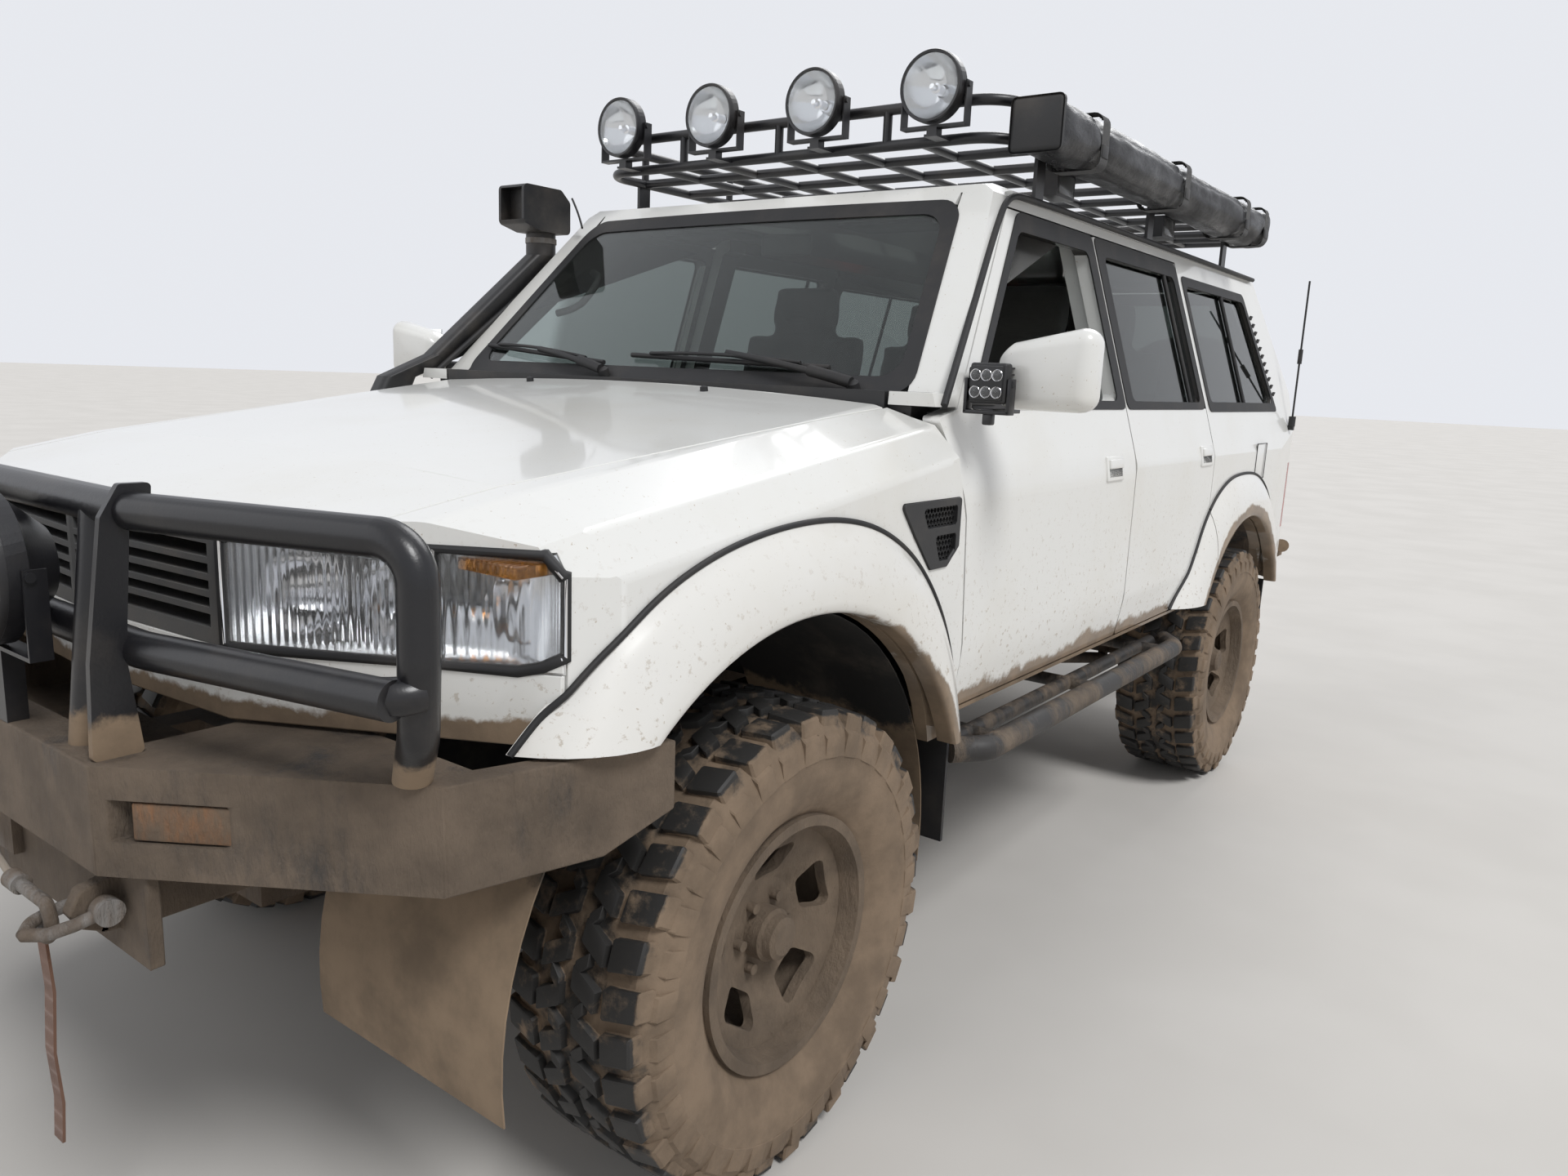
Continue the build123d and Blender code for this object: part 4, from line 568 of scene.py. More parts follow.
tyre_mesh = mud_terrain()
for end, station in (("front_", 0.0), ("rear_", WHEELBASE)):
    for side, hand in SIDES:
        corner = end + hand
        turn = Matrix.Rotation(math.pi, 4, "Z") if side < 0 else Matrix.Rotation(0.1, 4, "X")
        tyre = mounted("mud_tyre_" + corner, "wheel_" + corner, tread_rubber,
                       Matrix.Translation((side * HALF_TRACK, st(station), HUB_Z)) @ turn)
        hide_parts("tyre_" + corner)
        softened("rim_" + corner, rim_mud, 0.0035, segments=3)
SPARE_CENTRE = Vector((0.335, st(4.020), 1.285))
mounted("mud_tyre_spare", "tail_door_left", spare_tread,
        Matrix.Translation(SPARE_CENTRE) @ Matrix.Rotation(math.pi / 2, 4, "Z"))
spare_rim = drop_shells(merged("spare_wheel"),
                        lambda points: max((p - SPARE_CENTRE).length for p in points) > RIM_RADIUS)
softened("spare_wheel", rim_mud, 0.0035, spare_rim, 3, name="spare_rim")
bpy.data.meshes.remove(tyre_mesh)


# Body panels


def creases_rolled(bm, offset):
    """Turns the shallow creases between large faces into wide rounds."""
    bm.normal_update()
    creases = [e for e in bm.edges if len(e.link_faces) == 2 and e.calc_length() > 0.12
               and 0.12 < e.calc_face_angle(0) < 0.75]
    bevelled(bm, creases, offset, 6, clamp=True)
    return bm


for node in ("bonnet", "front_wings"):
    softened(node, white_paint, 0.003, creases_rolled(merged(node), 0.040), angle=30)
softened("front_panel", nose_paint, 0.0025)
for node in ("side_panel_left", "side_panel_right", "roof_panel"):
    softened(node, cabin_paint, 0.0025, creases_rolled(merged(node), WIDE_ROLL))
for node in ("tail_door_left", "tail_door_right"):
    bm = merged(node)
    for shell in islands(bm):
        heights = [v.co.z for f in shell for v in f.verts]
        if min(heights) > 1.40 and max(heights) < 1.88:
            for face in shell:
                face.material_index = 1
    softened(node, [cabin_paint, windows], 0.0025, creases_rolled(bm, WIDE_ROLL))
for side, hand in SIDES:
    bm = merged("door_rear_" + hand)
    slice_off(bm, (side * DOOR_SKIN, 0, 0), (side, 0, 0))
    softened("door_rear_" + hand, cabin_paint, 0.0025, creases_rolled(bm, WIDE_ROLL))
for side, hand in SIDES:
    node = "door_front_" + hand
    bm = drop_shells(merged(node), lambda points: min(p.z for p in points) > GLASS_FOOT_Z)
    softened(node, cabin_paint, 0.0025, creases_rolled(bm, WIDE_ROLL))
for node, material, width in (
    ("grille", grille_grey, 0.002), ("front_bumper", bumper_mud, 0.003), ("snorkel", snorkel_plastic, 0.006),
    ("dashboard", dash_plastic, 0.008), ("rear_bumper", black_coat, 0.003), ("side_vents", black_plastic, 0.002),
):
    softened(node, material, width)
for material, nodes in (
    (frame_mud, "floor_pan chassis_frame engine_block suspension drivetrain tank_and_exhaust"),
    (hub_mud, "front_axle rear_axle knuckle_left knuckle_right"), (black_plastic, "cowl_panel antennas"),
    (windows, "body_glass glass_front_right glass_rear_left glass_rear_right"), (strap_web, "hook_strap"),
    (worn_steel, "winch shackle winch_hook"), (rack_coat, "roof_rack"), (black_coat, "bull_bar"),
    (step_mud, "side_steps"), (red_lens, "tail_lamps"), (seal_rubber, "mud_flaps"), (dash_plastic, "steering_wheel"),
):
    for node in nodes.split():
        data = frame["nodes"][node].data
        data.materials.clear()
        data.materials.append(material)

for side, hand in SIDES:
    ends = at([(0.860, -0.802, 1.070), (0.893, -0.785, 1.071), (0.897, -0.762, 1.073)], side)
    run("rail_end_" + hand, ends, 0.0253, black_coat, "black_coat")

# Rope

rope_curve = bar_curve("winch_line", at(ROPE_ROUTE), 0.005, steps=24, sides=4)
rope_curve.materials.append(rope_fibre)
rope = placed("winch_line", rope_curve)
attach(rope, "vehicle")
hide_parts("winch_rope")


# Lamps

LAMP_Z = 1.127
LAMP_AXIS = (0.466, -0.885, 0)


def boundary_loops(bm):
    """The points round each open edge of a surface, from the same edge in every run."""
    edges, loops = [e for e in bm.edges if e.is_boundary], []
    while edges:
        onward = edges.pop()
        line = [onward.verts[1], onward.verts[0]]
        while onward:
            onward = next((e for e in line[-1].link_edges if e in edges), None)
            if onward:
                edges.remove(onward)
                line.append(onward.other_vert(line[-1]))
        loops.append([v.co.copy() for v in (line[:-1] if line[0] == line[-1] else line)])
    return loops


def rounded_cuts(side, centre, radii, angles):
    """Planes touching an oval seen from the front, to round a corner with."""
    cuts = []
    for angle in angles:
        along, up = math.cos(math.radians(angle)), math.sin(math.radians(angle))
        point = (side * (centre[0] + radii[0] * along), 0, centre[1] + radii[1] * up)
        cuts.append((point, Vector((side * along / radii[0], 0, up / radii[1])).normalized()))
    return cuts


def lamp_unit(side, hand):
    """Bright box, bowls, two fluted lenses and their bright surround."""
    def half(front):
        """The front skin of this side's lamp solid, or the rest of it."""
        bm = merged("front_lamps")
        keep_faces(bm, lambda f: f.calc_center_median().x * side > 0)
        bm.normal_update()
        keep_faces(bm, lambda f: (f.normal.y < -0.2) == front)
        return bm

    shell = piece("lamp_box_" + hand, thicken(half(False), 0.003), reflector)
    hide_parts("front_lamps")
    inner = rounded_cuts(side, (0.446, 1.190), (0.020, 0.018), (120, 150))
    inner += rounded_cuts(side, (0.446, 1.064), (0.022, 0.020), (210, 240))
    outer = rounded_cuts(side, (0.862, 1.168), (0.050, 0.040), (65, 40, 15))
    outer += rounded_cuts(side, (0.806, 1.132), (0.108, 0.088), (-15, -35, -55, -72))
    head = [((side * 0.708, 0, 0), (side, 0, 0))] + inner
    corner = [((side * 0.716, 0, 0), (-side, 0, 0))] + outer
    for name, material, planes in (("head_lens", lens_flutes, head), ("corner_lens", corner_flutes, corner)):
        bm = half(True)
        for point, normal in planes:
            slice_off(bm, point, normal)
        for i, loop in enumerate(boundary_loops(bm)):
            run(f"{name}_trim_{hand}_{i}", loop, 0.0050, chrome, closed=True, smooth=False)
            back = [(x - side * 0.003, y + 0.003, z) for x, y, z in loop]
            run(f"{name}_gasket_{hand}_{i}", back, 0.0095, seal_rubber, closed=True, smooth=False)
        piece(f"{name}_{hand}", thicken(bm, 0.004), material)
    for name, material, planes in (("inner", grille_grey, inner), ("outer", white_paint, outer)):
        filler = bmesh.new()
        for i, (point, normal) in enumerate(planes):
            bm = half(True)
            for kept_point, kept_normal in planes[:i]:
                slice_off(bm, kept_point, kept_normal)
            slice_off(bm, point, -Vector(normal))
            add_to(filler, bm)
        piece(f"lamp_{name}_corner_{hand}", thicken(filler, 0.003), material)
    for x, station, radius in ((0.505, -0.665, 0.066), (0.630, -0.602, 0.062), (0.800, -0.515, 0.052)):
        place = ((side * x, st(station), LAMP_Z), (side * LAMP_AXIS[0], *LAMP_AXIS[1:]))
        turned_piece(f"lamp_bowl_{hand}_{round(x * 1000)}", chrome, "lamp_clear",
                     [(-0.045, 0.012), (-0.036, radius * 0.55), (-0.016, radius * 0.85), (0.006, radius)], *place,
                     32, 0.002)
        turned_piece(f"lamp_bulb_{hand}_{round(x * 1000)}", amber if x > 0.7 else chrome, None,
                     [(-0.04, 0.0), (-0.04, 0.009), (-0.008, 0.009), (-0.002, 0.005), (0.0, 0.0)], *place, 16)
    block_piece("lamp_amber_" + hand, amber, None, (0.74, 0.86, -0.585, -0.515, 1.182, 1.200, 0.003), side=side)


for side, hand in SIDES:
    lamp_unit(side, hand)

ROUND_LAMPS = [(-0.2, -0.985, 1.155, 0.110), (0.2, -0.985, 1.155, 0.110)]
ROUND_LAMPS += [(x, 0.985, 2.175, 0.085) for x in (-0.534, -0.178, 0.178, 0.534)]
lamp_bm = merged("driving_lamps")
for x, station, z, radius in ROUND_LAMPS:
    middle = Vector((x, st(station), z))
    keep_faces(lamp_bm, lambda f: any(abs(v.co.y - middle.y) >= 0.001 or (v.co - middle).length >= radius - 0.006
                                      for v in f.verts))
softened("driving_lamps", rack_coat, 0.002, lamp_bm)
for i, (x, station, z, radius) in enumerate(ROUND_LAMPS):
    place = ((x, st(station), z), (0, -1, 0))
    rim = radius - 0.0085
    edge = radius - 0.0005
    turned_piece(f"round_bowl_{i}", reflector, "lamp_body",
                 [(-0.056, 0.010), (-0.052, rim * 0.30), (-0.040, rim * 0.62), (-0.022, rim * 0.85), (-0.003, rim)],
                 *place, 48, 0.0015)
    turned_piece(f"round_lens_{i}", clear_glass, "lamp_clear",
                 [(-0.002, 0.0), (-0.002, rim), (0.001, rim), (0.005, rim * 0.75), (0.008, rim * 0.4), (0.009, 0.0)],
                 *place, 48)
    turned_piece(f"round_bulb_{i}", chrome, "lamp_body",
                 [(-0.05, 0.0), (-0.05, 0.012), (-0.030, 0.012), (-0.028, 0.007), (-0.012, 0.007), (-0.010, 0.0)],
                 *place, 20)
    turned_piece(f"round_hoop_{i}", rack_coat, "lamp_body",
                 [(-0.006, radius - 0.009), (0.003, radius - 0.008), (0.004, radius - 0.002), (0.0, edge),
                  (-0.012, edge), (-0.014, radius - 0.004)], *place, 48)
for i, station in enumerate((1.45, 2.33)):
    block_piece(f"work_lens_{i}", lamp_glass, "lamp_clear",
                (0.7085, 0.7125, station - 0.05, station + 0.05, 1.975, 2.028, 0.002))

# Soft goods


def swap_mesh(made):
    """Applies the modifiers of a piece to its mesh."""
    old = made.data
    mesh = bpy.data.meshes.new_from_object(made.evaluated_get(bpy.context.evaluated_depsgraph_get()))
    made.modifiers.clear()
    made.data = mesh
    bpy.data.meshes.remove(old)


def evened(made, voxel):
    """Gives a closed form an even mesh."""
    even = made.modifiers.new("even", "REMESH")
    even.mode = "VOXEL"
    even.voxel_size = voxel
    swap_mesh(made)


def settled(made, voxel, pressure, cap, frames):
    """Gives a closed form an even mesh and lets cloth under pressure fill it out, as far as cap."""
    evened(made, voxel)
    rest = [v.co.copy() for v in made.data.vertices]
    cloth = made.modifiers.new("cloth", "CLOTH")
    cloth.settings.use_pressure = True
    cloth.settings.uniform_pressure_force = pressure
    cloth.settings.effector_weights.gravity = 0
    for number in range(1, frames + 1):
        bpy.context.scene.frame_set(number)
    swap_mesh(made)
    bpy.context.scene.frame_set(1)
    for vertex, start in zip(made.data.vertices, rest):
        moved = vertex.co - start
        if moved.length > cap:
            vertex.co = start + moved.normalized() * cap


def shade_all_smooth(made):
    for polygon in made.data.polygons:
        polygon.use_smooth = True


BAG_STRAPS = (1.33, 2.02, 2.72, 2.98)


def awning_bag():
    """A long vinyl bag that sags and creases between its straps."""
    low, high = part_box("awning_bag")
    bm = bmesh.new()
    size = [s - 0.016 for s in high - low]
    bmesh.ops.create_cube(bm, size=1, matrix=Matrix.Translation((low + high) / 2) @ Matrix.Diagonal((*size, 1)))
    bevelled(bm, bm.edges[:], 0.026, 4)
    bag = piece("awning_bag_soft", bm, bag_skin, 80)
    settled(bag, voxel=0.009, pressure=2.5, cap=0.006, frames=14)
    bag.data.update()
    normals = [v.normal.copy() for v in bag.data.vertices]
    for vertex, normal in zip(bag.data.vertices, normals):
        x, y, z = vertex.co
        swing = noise.noise(Vector((x * 7, y * 2.2, z * 7))) * 0.007
        crease = 0.0
        for strap in BAG_STRAPS:
            away = abs(y - st(strap))
            crease += math.exp(-away * 13) * noise.noise(Vector((x * 36, y * 7, z * 36))) * 0.010
            swing -= 0.008 * math.exp(-(away / 0.028) ** 2)
        ripple = noise.noise(Vector((x * 22, y * 11 + z * 9, z * 22))) * 0.0035
        vertex.co += normal * (swing + crease + ripple)
        vertex.co.x = max(vertex.co.x, low.x + 0.0015)
    shade_all_smooth(bag)
    finer = bag.modifiers.new("finer", "SUBSURF")
    finer.levels = finer.render_levels = 1
    block_piece("bag_end", black_plastic, "bag_canvas",
                (low.x + 0.002, high.x - 0.002, 1.062, 1.078, low.z + 0.004, high.z - 0.003, 0.014, 3))
    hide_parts("awning_bag")
    for i, strap in enumerate(BAG_STRAPS):
        band = bmesh.new()
        add_block(band, low.x - 0.0005, high.x - 0.001, strap - 0.019, strap + 0.019, low.z + 0.002, high.z - 0.001,
                  0.024, 4)
        keep_faces(band, lambda f: abs(f.normal.y) < 0.5)
        piece(f"bag_strap_{i}", thicken(band, 0.002), bag_web, 50)
        block_piece(f"bag_buckle_{i}", black_plastic, "bag_canvas",
                    (high.x - 0.003, high.x + 0.004, strap - 0.022, strap + 0.022, low.z + 0.030, low.z + 0.062, 0.003))


def padded_seats():
    """Seats with rounded, filled cushions in place of their plain solids."""
    seat = piece("seats_soft", merged("seats"), seat_cloth, 80)
    settled(seat, voxel=0.020, pressure=2.0, cap=0.010, frames=10)
    rounder = bmesh.new()
    rounder.from_mesh(seat.data)
    for _ in range(3):
        bmesh.ops.smooth_vert(rounder, verts=rounder.verts[:], factor=0.5, use_axis_x=True, use_axis_y=True,
                              use_axis_z=True)
    rounder.to_mesh(seat.data)
    rounder.free()
    shade_all_smooth(seat)
    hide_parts("seats")
    for x, station in ((0.44, 1.24), (-0.44, 1.24), (0.36, 2.08), (-0.36, 2.08)):
        for way in (-0.05, 0.05):
            run(f"headrest_bar_{round(x * 100)}_{round(way * 100)}",
                at([(x + way, station + 0.632, z) for z in (1.58, 1.68)]), 0.006, chrome, smooth=False)


awning_bag()
padded_seats()

# Glass edges, seals and trim


def grown(outline, by):
    """A convex outline with each side moved out by a distance."""
    pairs = list(zip(outline, outline[1:] + outline[:1]))
    way = -1 if sum(a[0] * b[1] - b[0] * a[1] for a, b in pairs) < 0 else 1
    lines, moved = [], []
    for (x0, y0), (x1, y1) in pairs:
        length = math.hypot(x1 - x0, y1 - y0)
        nx, ny = way * (y1 - y0) / length, way * -(x1 - x0) / length
        lines.append((nx, ny, nx * x0 + ny * y0 + by))
    for (a, b, c), (d, e, f) in zip(lines[-1:] + lines[:-1], lines):
        det = a * e - b * d
        moved.append(((c * e - b * f) / det, (a * f - c * d) / det))
    return moved


def edge_frame(name, outer, inner, corner, place, body, cuts=0):
    """A flat seal between two rounded outlines, drawn in two numbers and put in space by place()."""
    bm = bmesh.new()
    for outline in (outer, inner):
        loop = bmesh.new()
        corners = [loop.verts.new((u, v, 0)) for u, v in outline]
        loop.faces.new(corners)
        bevelled(loop, corners, corner, 6, "VERTICES")
        bmesh.ops.delete(loop, geom=loop.faces[:], context="FACES_ONLY")
        add_to(bm, loop)
    bmesh.ops.bridge_loops(bm, edges=bm.edges[:])
    low, high = min(u for u, _ in outer), max(u for u, _ in outer)
    for i in range(1, cuts):
        bmesh.ops.bisect_plane(bm, geom=everything(bm), plane_co=(low + (high - low) * i / cuts, 0, 0),
                               plane_no=(1, 0, 0))
    for vertex in bm.verts:
        vertex.co = place(vertex.co.x, vertex.co.y)
    face_outward(bm)
    thicken(bm, 0.004)
    face_outward(bm)
    piece(name, bm, seal_rubber, body=body)


def on_screen(x, z, lift):
    """A point of the bowed windscreen, lifted off its face."""
    return Vector((x, st(0.548 + x * x / 12.36 + 0.909 * (z - 1.44)) - lift * 0.74, z + lift * 0.673))


def side_place(side, lift):
    return lambda station, z: Vector((side * tumble(z, lift), st(station), z))


SCREEN = [(-0.744, 1.446), (0.744, 1.446), (0.626, 1.889), (-0.626, 1.889)]
edge_frame("screen_seal", grown(SCREEN, 0.016), grown(SCREEN, -0.022), 0.055, lambda x, z: on_screen(x, z, 0.003),
           "vehicle", cuts=14)
QUARTER = [(2.505, 1.428), (3.400, 1.428), (3.235, 1.830), (2.480, 1.830)]
WINDOWS = [
    ("front_window", "door_front_", [(0.667, 1.408), (1.643, 1.408), (1.643, 1.893), (1.144, 1.893)],
     [(0.719, 1.431), (1.588, 1.431), (1.588, 1.843), (1.131, 1.843)]),
    ("rear_window", "door_rear_", [(1.659, 1.408), (2.422, 1.408), (2.402, 1.893), (1.659, 1.893)],
     [(1.716, 1.431), (2.384, 1.431), (2.358, 1.843), (1.716, 1.843)]),
    ("quarter_window", "vehicle", grown(QUARTER, 0.028), grown(QUARTER, -0.005)),
]
GUTTER = [(tumble(1.412, 0.004), 0.545, 1.414), (tumble(1.60, 0.004), 0.745, 1.60), (tumble(1.86, 0.004), 1.020, 1.86),
          (0.713, 1.100, 1.925), (0.714, 1.20, 1.934), (0.714, 2.4, 1.934), (0.714, 3.44, 1.932)]
for side, hand in SIDES:
    for name, body, outer, inner in WINDOWS:
        rider = body if body == "vehicle" else body + hand
        edge_frame(f"{name}_seal_{hand}", outer, inner, 0.024, side_place(side, 0.0035), rider)
    for name, body, low, high in (("rear_light_bar", "door_rear_" + hand, 2.292, 2.272),
                                  ("slider_bar", "vehicle", 2.965, 2.935)):
        upright = [(tumble(z, -0.004), station, z) for station, z in ((low, 1.431), (high, 1.843))]
        seal(f"{name}_{hand}", at(upright, side), 0.0075, body, smooth=False)
    seal("gutter_strip_" + hand, at(GUTTER, side), 0.0085)

# Wheel flares, their seals and the arch liners

surface = bmesh.new()
for node in ("front_wings", "side_panel_left", "door_rear_left", "front_panel"):
    surface.from_mesh(frame["nodes"][node].data)
body_side = BVHTree.FromBMesh(surface)
surface.free()
FRONT_ARCH = (-0.030, 0.465, 0.600)
REAR_ARCH = (2.850, 0.440, 0.572)
FRONT_FLARE = [(-0.585, 0.936), (-0.520, 1.010), (-0.400, 1.115), (-0.250, 1.180), (-0.060, 1.212), (0.130, 1.212),
               (0.300, 1.165), (0.440, 1.065), (0.560, 0.890), (0.605, 0.700)]
REAR_FLARE = [(2.105, 0.700), (2.300, 0.870), (2.420, 1.050), (2.620, 1.150), (2.850, 1.168), (3.080, 1.150),
              (3.290, 1.050), (3.420, 0.900), (3.470, 0.700)]
# Name, body, arch (station, height, radius), outline, first and last angle of the root and of the lip, steps.
FLARES = [
    ("front_flare", "vehicle", FRONT_ARCH, FRONT_FLARE, (139.7, 20.3), (128.3, 23.1), 44),
    ("rear_flare", "vehicle", REAR_ARCH, REAR_FLARE, (123.05, 22.75), (135.07, 27.0), 40),
    ("door_flare", "door_rear_", REAR_ARCH, REAR_FLARE, (156.2, 123.5), (147.8, 135.8), 14),
]
FLARE_OUT = 0.966
# Share of the way from root to lip, and height above the body side as a share of the flare's depth, then a shift.
FLARE_SECTION = [(0.0, 0.0, -0.006), (0.0, 0.0, 0.003), (0.03, 0.10, 0.0), (0.12, 0.32, 0.0), (0.25, 0.56, 0.0),
                 (0.40, 0.75, 0.0), (0.56, 0.89, 0.0), (0.72, 0.97, 0.0), (0.86, 1.0, 0.0), (0.955, 1.0, -0.001),
                 (0.99, 1.0, -0.006), (1.0, 1.0, -0.014), (1.0, 1.0, -0.045), (0.95, 1.0, -0.046),
                 (0.90, 1.0, -0.018), (0.45, 0.6, -0.008), (0.0, 0.0, -0.006)]


def reach(arch, outline, angle):
    """Distance from a wheel arch's middle to the flare's outline, with the outline's corners eased."""
    spots = sorted((math.degrees(math.atan2(z - arch[1], y - arch[0])), math.hypot(y - arch[0], z - arch[1]))
                   for y, z in outline)
    total = 0.0
    for shift in (-7.0, -3.5, 0.0, 3.5, 7.0):
        want = min(max(angle + shift, spots[0][0]), spots[-1][0])
        (a0, r0), (a1, r1) = next(pair for pair in zip(spots, spots[1:]) if want <= pair[1][0])
        total += r0 + (r1 - r0) * (want - a0) / (a1 - a0)
    return total / 5


def around(arch, radius, angle):
    turn = math.radians(angle)
    return Vector((0, st(arch[0] + radius * math.cos(turn)), arch[1] + radius * math.sin(turn)))


def swelled(arch, outline, roots, lips, steps):
    """A closed flare whose section swells from the body side to the lip, and the line of its root."""
    def root_at(share):
        angle = roots[0] + (roots[1] - roots[0]) * share
        return around(arch, reach(arch, outline, angle), angle)

    keys = range(steps + 1)
    feet = [root_at(key / steps) for key in keys]
    hits = [body_side.ray_cast(Vector((1.4, foot.y, foot.z)), Vector((-1, 0, 0)))[0] for foot in feet]
    found = [key for key in keys if hits[key] and hits[key].x > 0.80]
    panels = [hits[min(found, key=lambda other: abs(other - key))].x for key in keys]
    skins = [sum(panels[max(0, min(steps, key + shift))] for shift in range(-3, 4)) / 7 for key in keys]
    line = [(max(skin, panel) + 0.003, foot.y, foot.z) for skin, panel, foot in zip(skins, panels, feet)]
    bm = bmesh.new()
    last = len(FLARE_SECTION) - 1
    bmesh.ops.create_grid(bm, x_segments=steps, y_segments=last, size=1)
    for vertex in bm.verts:
        share, row = (vertex.co.x + 1) / 2, (vertex.co.y + 1) / 2 * last
        first = min(int(row + 1e-4), last - 1)
        part = row - first
        toward, high, shift = [p * (1 - part) + q * part for p, q in zip(*FLARE_SECTION[first:first + 2])]
        lip = around(arch, arch[2], lips[0] + (lips[1] - lips[0]) * share)
        skin = skins[round(share * steps)]
        place = root_at(share).lerp(lip, toward)
        place.x = skin + (FLARE_OUT - skin) * high + shift
        vertex.co = place
    bmesh.ops.remove_doubles(bm, verts=bm.verts[:], dist=1e-5)
    bmesh.ops.holes_fill(bm, edges=bm.edges[:], sides=0)
    return bm, line


def to_side(bm, side):
    bmesh.ops.scale(bm, vec=(side, 1, 1), verts=bm.verts[:])
    face_outward(bm)
    return bm


for side, hand in SIDES:
    for name, body, *shape in FLARES:
        rider = body if body == "vehicle" else body + hand
        bm, line = swelled(*shape)
        flare = piece(f"{name}_{hand}", to_side(bm, side), flare_paint, 50, rider)
        if body == "vehicle":
            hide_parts("wheel_flares")
        seal(f"{name}_seal_{hand}", [(side * x, y, z) for x, y, z in line], 0.0055, rider)
    liner = bmesh.new()
    rib = [liner.verts.new((x, 0, 0.592)) for x in (0.415, 0.872)]
    edge = liner.edges.new(rib)
    bmesh.ops.rotate(liner, cent=(0, 0, 0), matrix=Matrix.Rotation(math.radians(-97), 3, "X"), verts=rib)
    bmesh.ops.spin(liner, geom=[*rib, edge], cent=(0, 0, 0), axis=(1, 0, 0), angle=math.radians(194), steps=36)
    thicken(liner, 0.003)
    bmesh.ops.translate(liner, vec=(0, st(FRONT_ARCH[0]), FRONT_ARCH[1]), verts=liner.verts[:])
    piece("arch_liner_" + hand, to_side(liner, side), liner_plastic, 50)

# Mirrors, handles and small fittings


def door_fittings(side, hand):
    """Mirror, its arm and glass, and the flush handles of both doors on one side."""
    front, rear = "door_front_" + hand, "door_rear_" + hand
    shell = bmesh.new()
    add_block(shell, side * 0.948, side * 1.160, 0.603, 0.686, 1.413, 1.581, 0.034, 6)
    for vertex in shell.verts:
        inward = max(0.0, min(1.0, (1.03 - abs(vertex.co.x)) / 0.08))
        vertex.co.z -= 0.050 * inward * max(0.0, (vertex.co.z - 1.45) / 0.13)
    piece("mirror_shell_" + hand, shell, white_paint, 50, front)
    block_piece("mirror_glass_" + hand, mirror_glass, None, (1.000, 1.143, 0.6845, 0.6880, 1.430, 1.560, 0.0012),
                side=side, body=front)
    block_piece("mirror_base_" + hand, black_plastic, "black_plastic",
                (0.858, 0.874, 0.665, 0.790, 1.416, 1.500, 0.006), side=side, body=front)
    run("mirror_arm_" + hand, at([(0.862, 0.712, 1.445), (0.925, 0.690, 1.442), (1.010, 0.660, 1.445)], side), 0.019,
        black_plastic, "black_plastic", front)
    lean = Matrix.Rotation(side * math.radians(-8.5), 4, "Y")
    for body, station, z in ((front, 1.475, 1.248), (rear, 2.345, 1.254)):
        # Part, material, slot, how far it reaches in and out, half its length, its foot and top, rounding.
        for part, material, slot, inner, outer, half, low, high, rounding in (
            ("plate", white_paint, "body_paint", 0.006, 0.004, 0.062, -0.034, 0.034, 0.0035),
            ("cup", seal_rubber, "black_plastic", 0.004, 0.0052, 0.052, -0.026, 0.010, 0.003),
            ("paddle", white_paint, "body_paint", 0.002, 0.0085, 0.050, 0.000, 0.026, 0.004),
        ):
            block_piece(f"handle_{part}_{body}", material, slot,
                        (BODY_SIDE - inner, BODY_SIDE + outer, station - half, station + half, z + low, z + high,
                         rounding, 3, lean), side=side, body=body)


for side, hand in SIDES:
    door_fittings(side, hand)

block_piece("pod_lamp", black_plastic, "black_plastic", (0.920, 1.002, 0.552, 0.582, 1.424, 1.506, 0.006, 3),
            *((0.925, 0.997, 0.580, 0.602, 1.430 + i * 0.0130, 1.4335 + i * 0.0130) for i in range(6)),
            (0.926, 0.996, 0.5465, 0.556, 1.430, 1.500, 0.003, 2), body="door_front_left")
ears = [ear for x in (0.911, 1.007) for ear in ((x - 0.004, x + 0.004, 0.556, 0.584, 1.404, 1.475, 0.002),
                                                (x - 0.007, x + 0.007, 0.562, 0.578, 1.456, 1.472, 0.003))]
block_piece("pod_stay", rack_coat, "black_plastic", (0.946, 0.976, 0.560, 0.690, 1.404, 1.413, 0.002), *ears,
            (0.907, 1.011, 0.556, 0.584, 1.402, 1.410, 0.002), (0.950, 0.972, 0.560, 0.580, 1.380, 1.404, 0.004),
            body="door_front_left")
for row in range(2):
    for column in range(3):
        place = ((0.937 + column * 0.024, st(0.5465), 1.447 + row * 0.034), (0, -1, 0), 20)
        turned_piece(f"pod_cup_{row}_{column}", chrome, None,
                     [(-0.004, 0.003), (-0.002, 0.008), (0.0012, 0.0115), (0.0018, 0.0122)], *place, 0.0008,
                     "door_front_left")
        turned_piece(f"pod_lens_{row}_{column}", lamp_glass, "lamp_clear",
                     [(-0.001, 0.0), (-0.001, 0.0105), (0.0016, 0.0105), (0.004, 0.005), (0.0045, 0.0)], *place,
                     body="door_front_left")


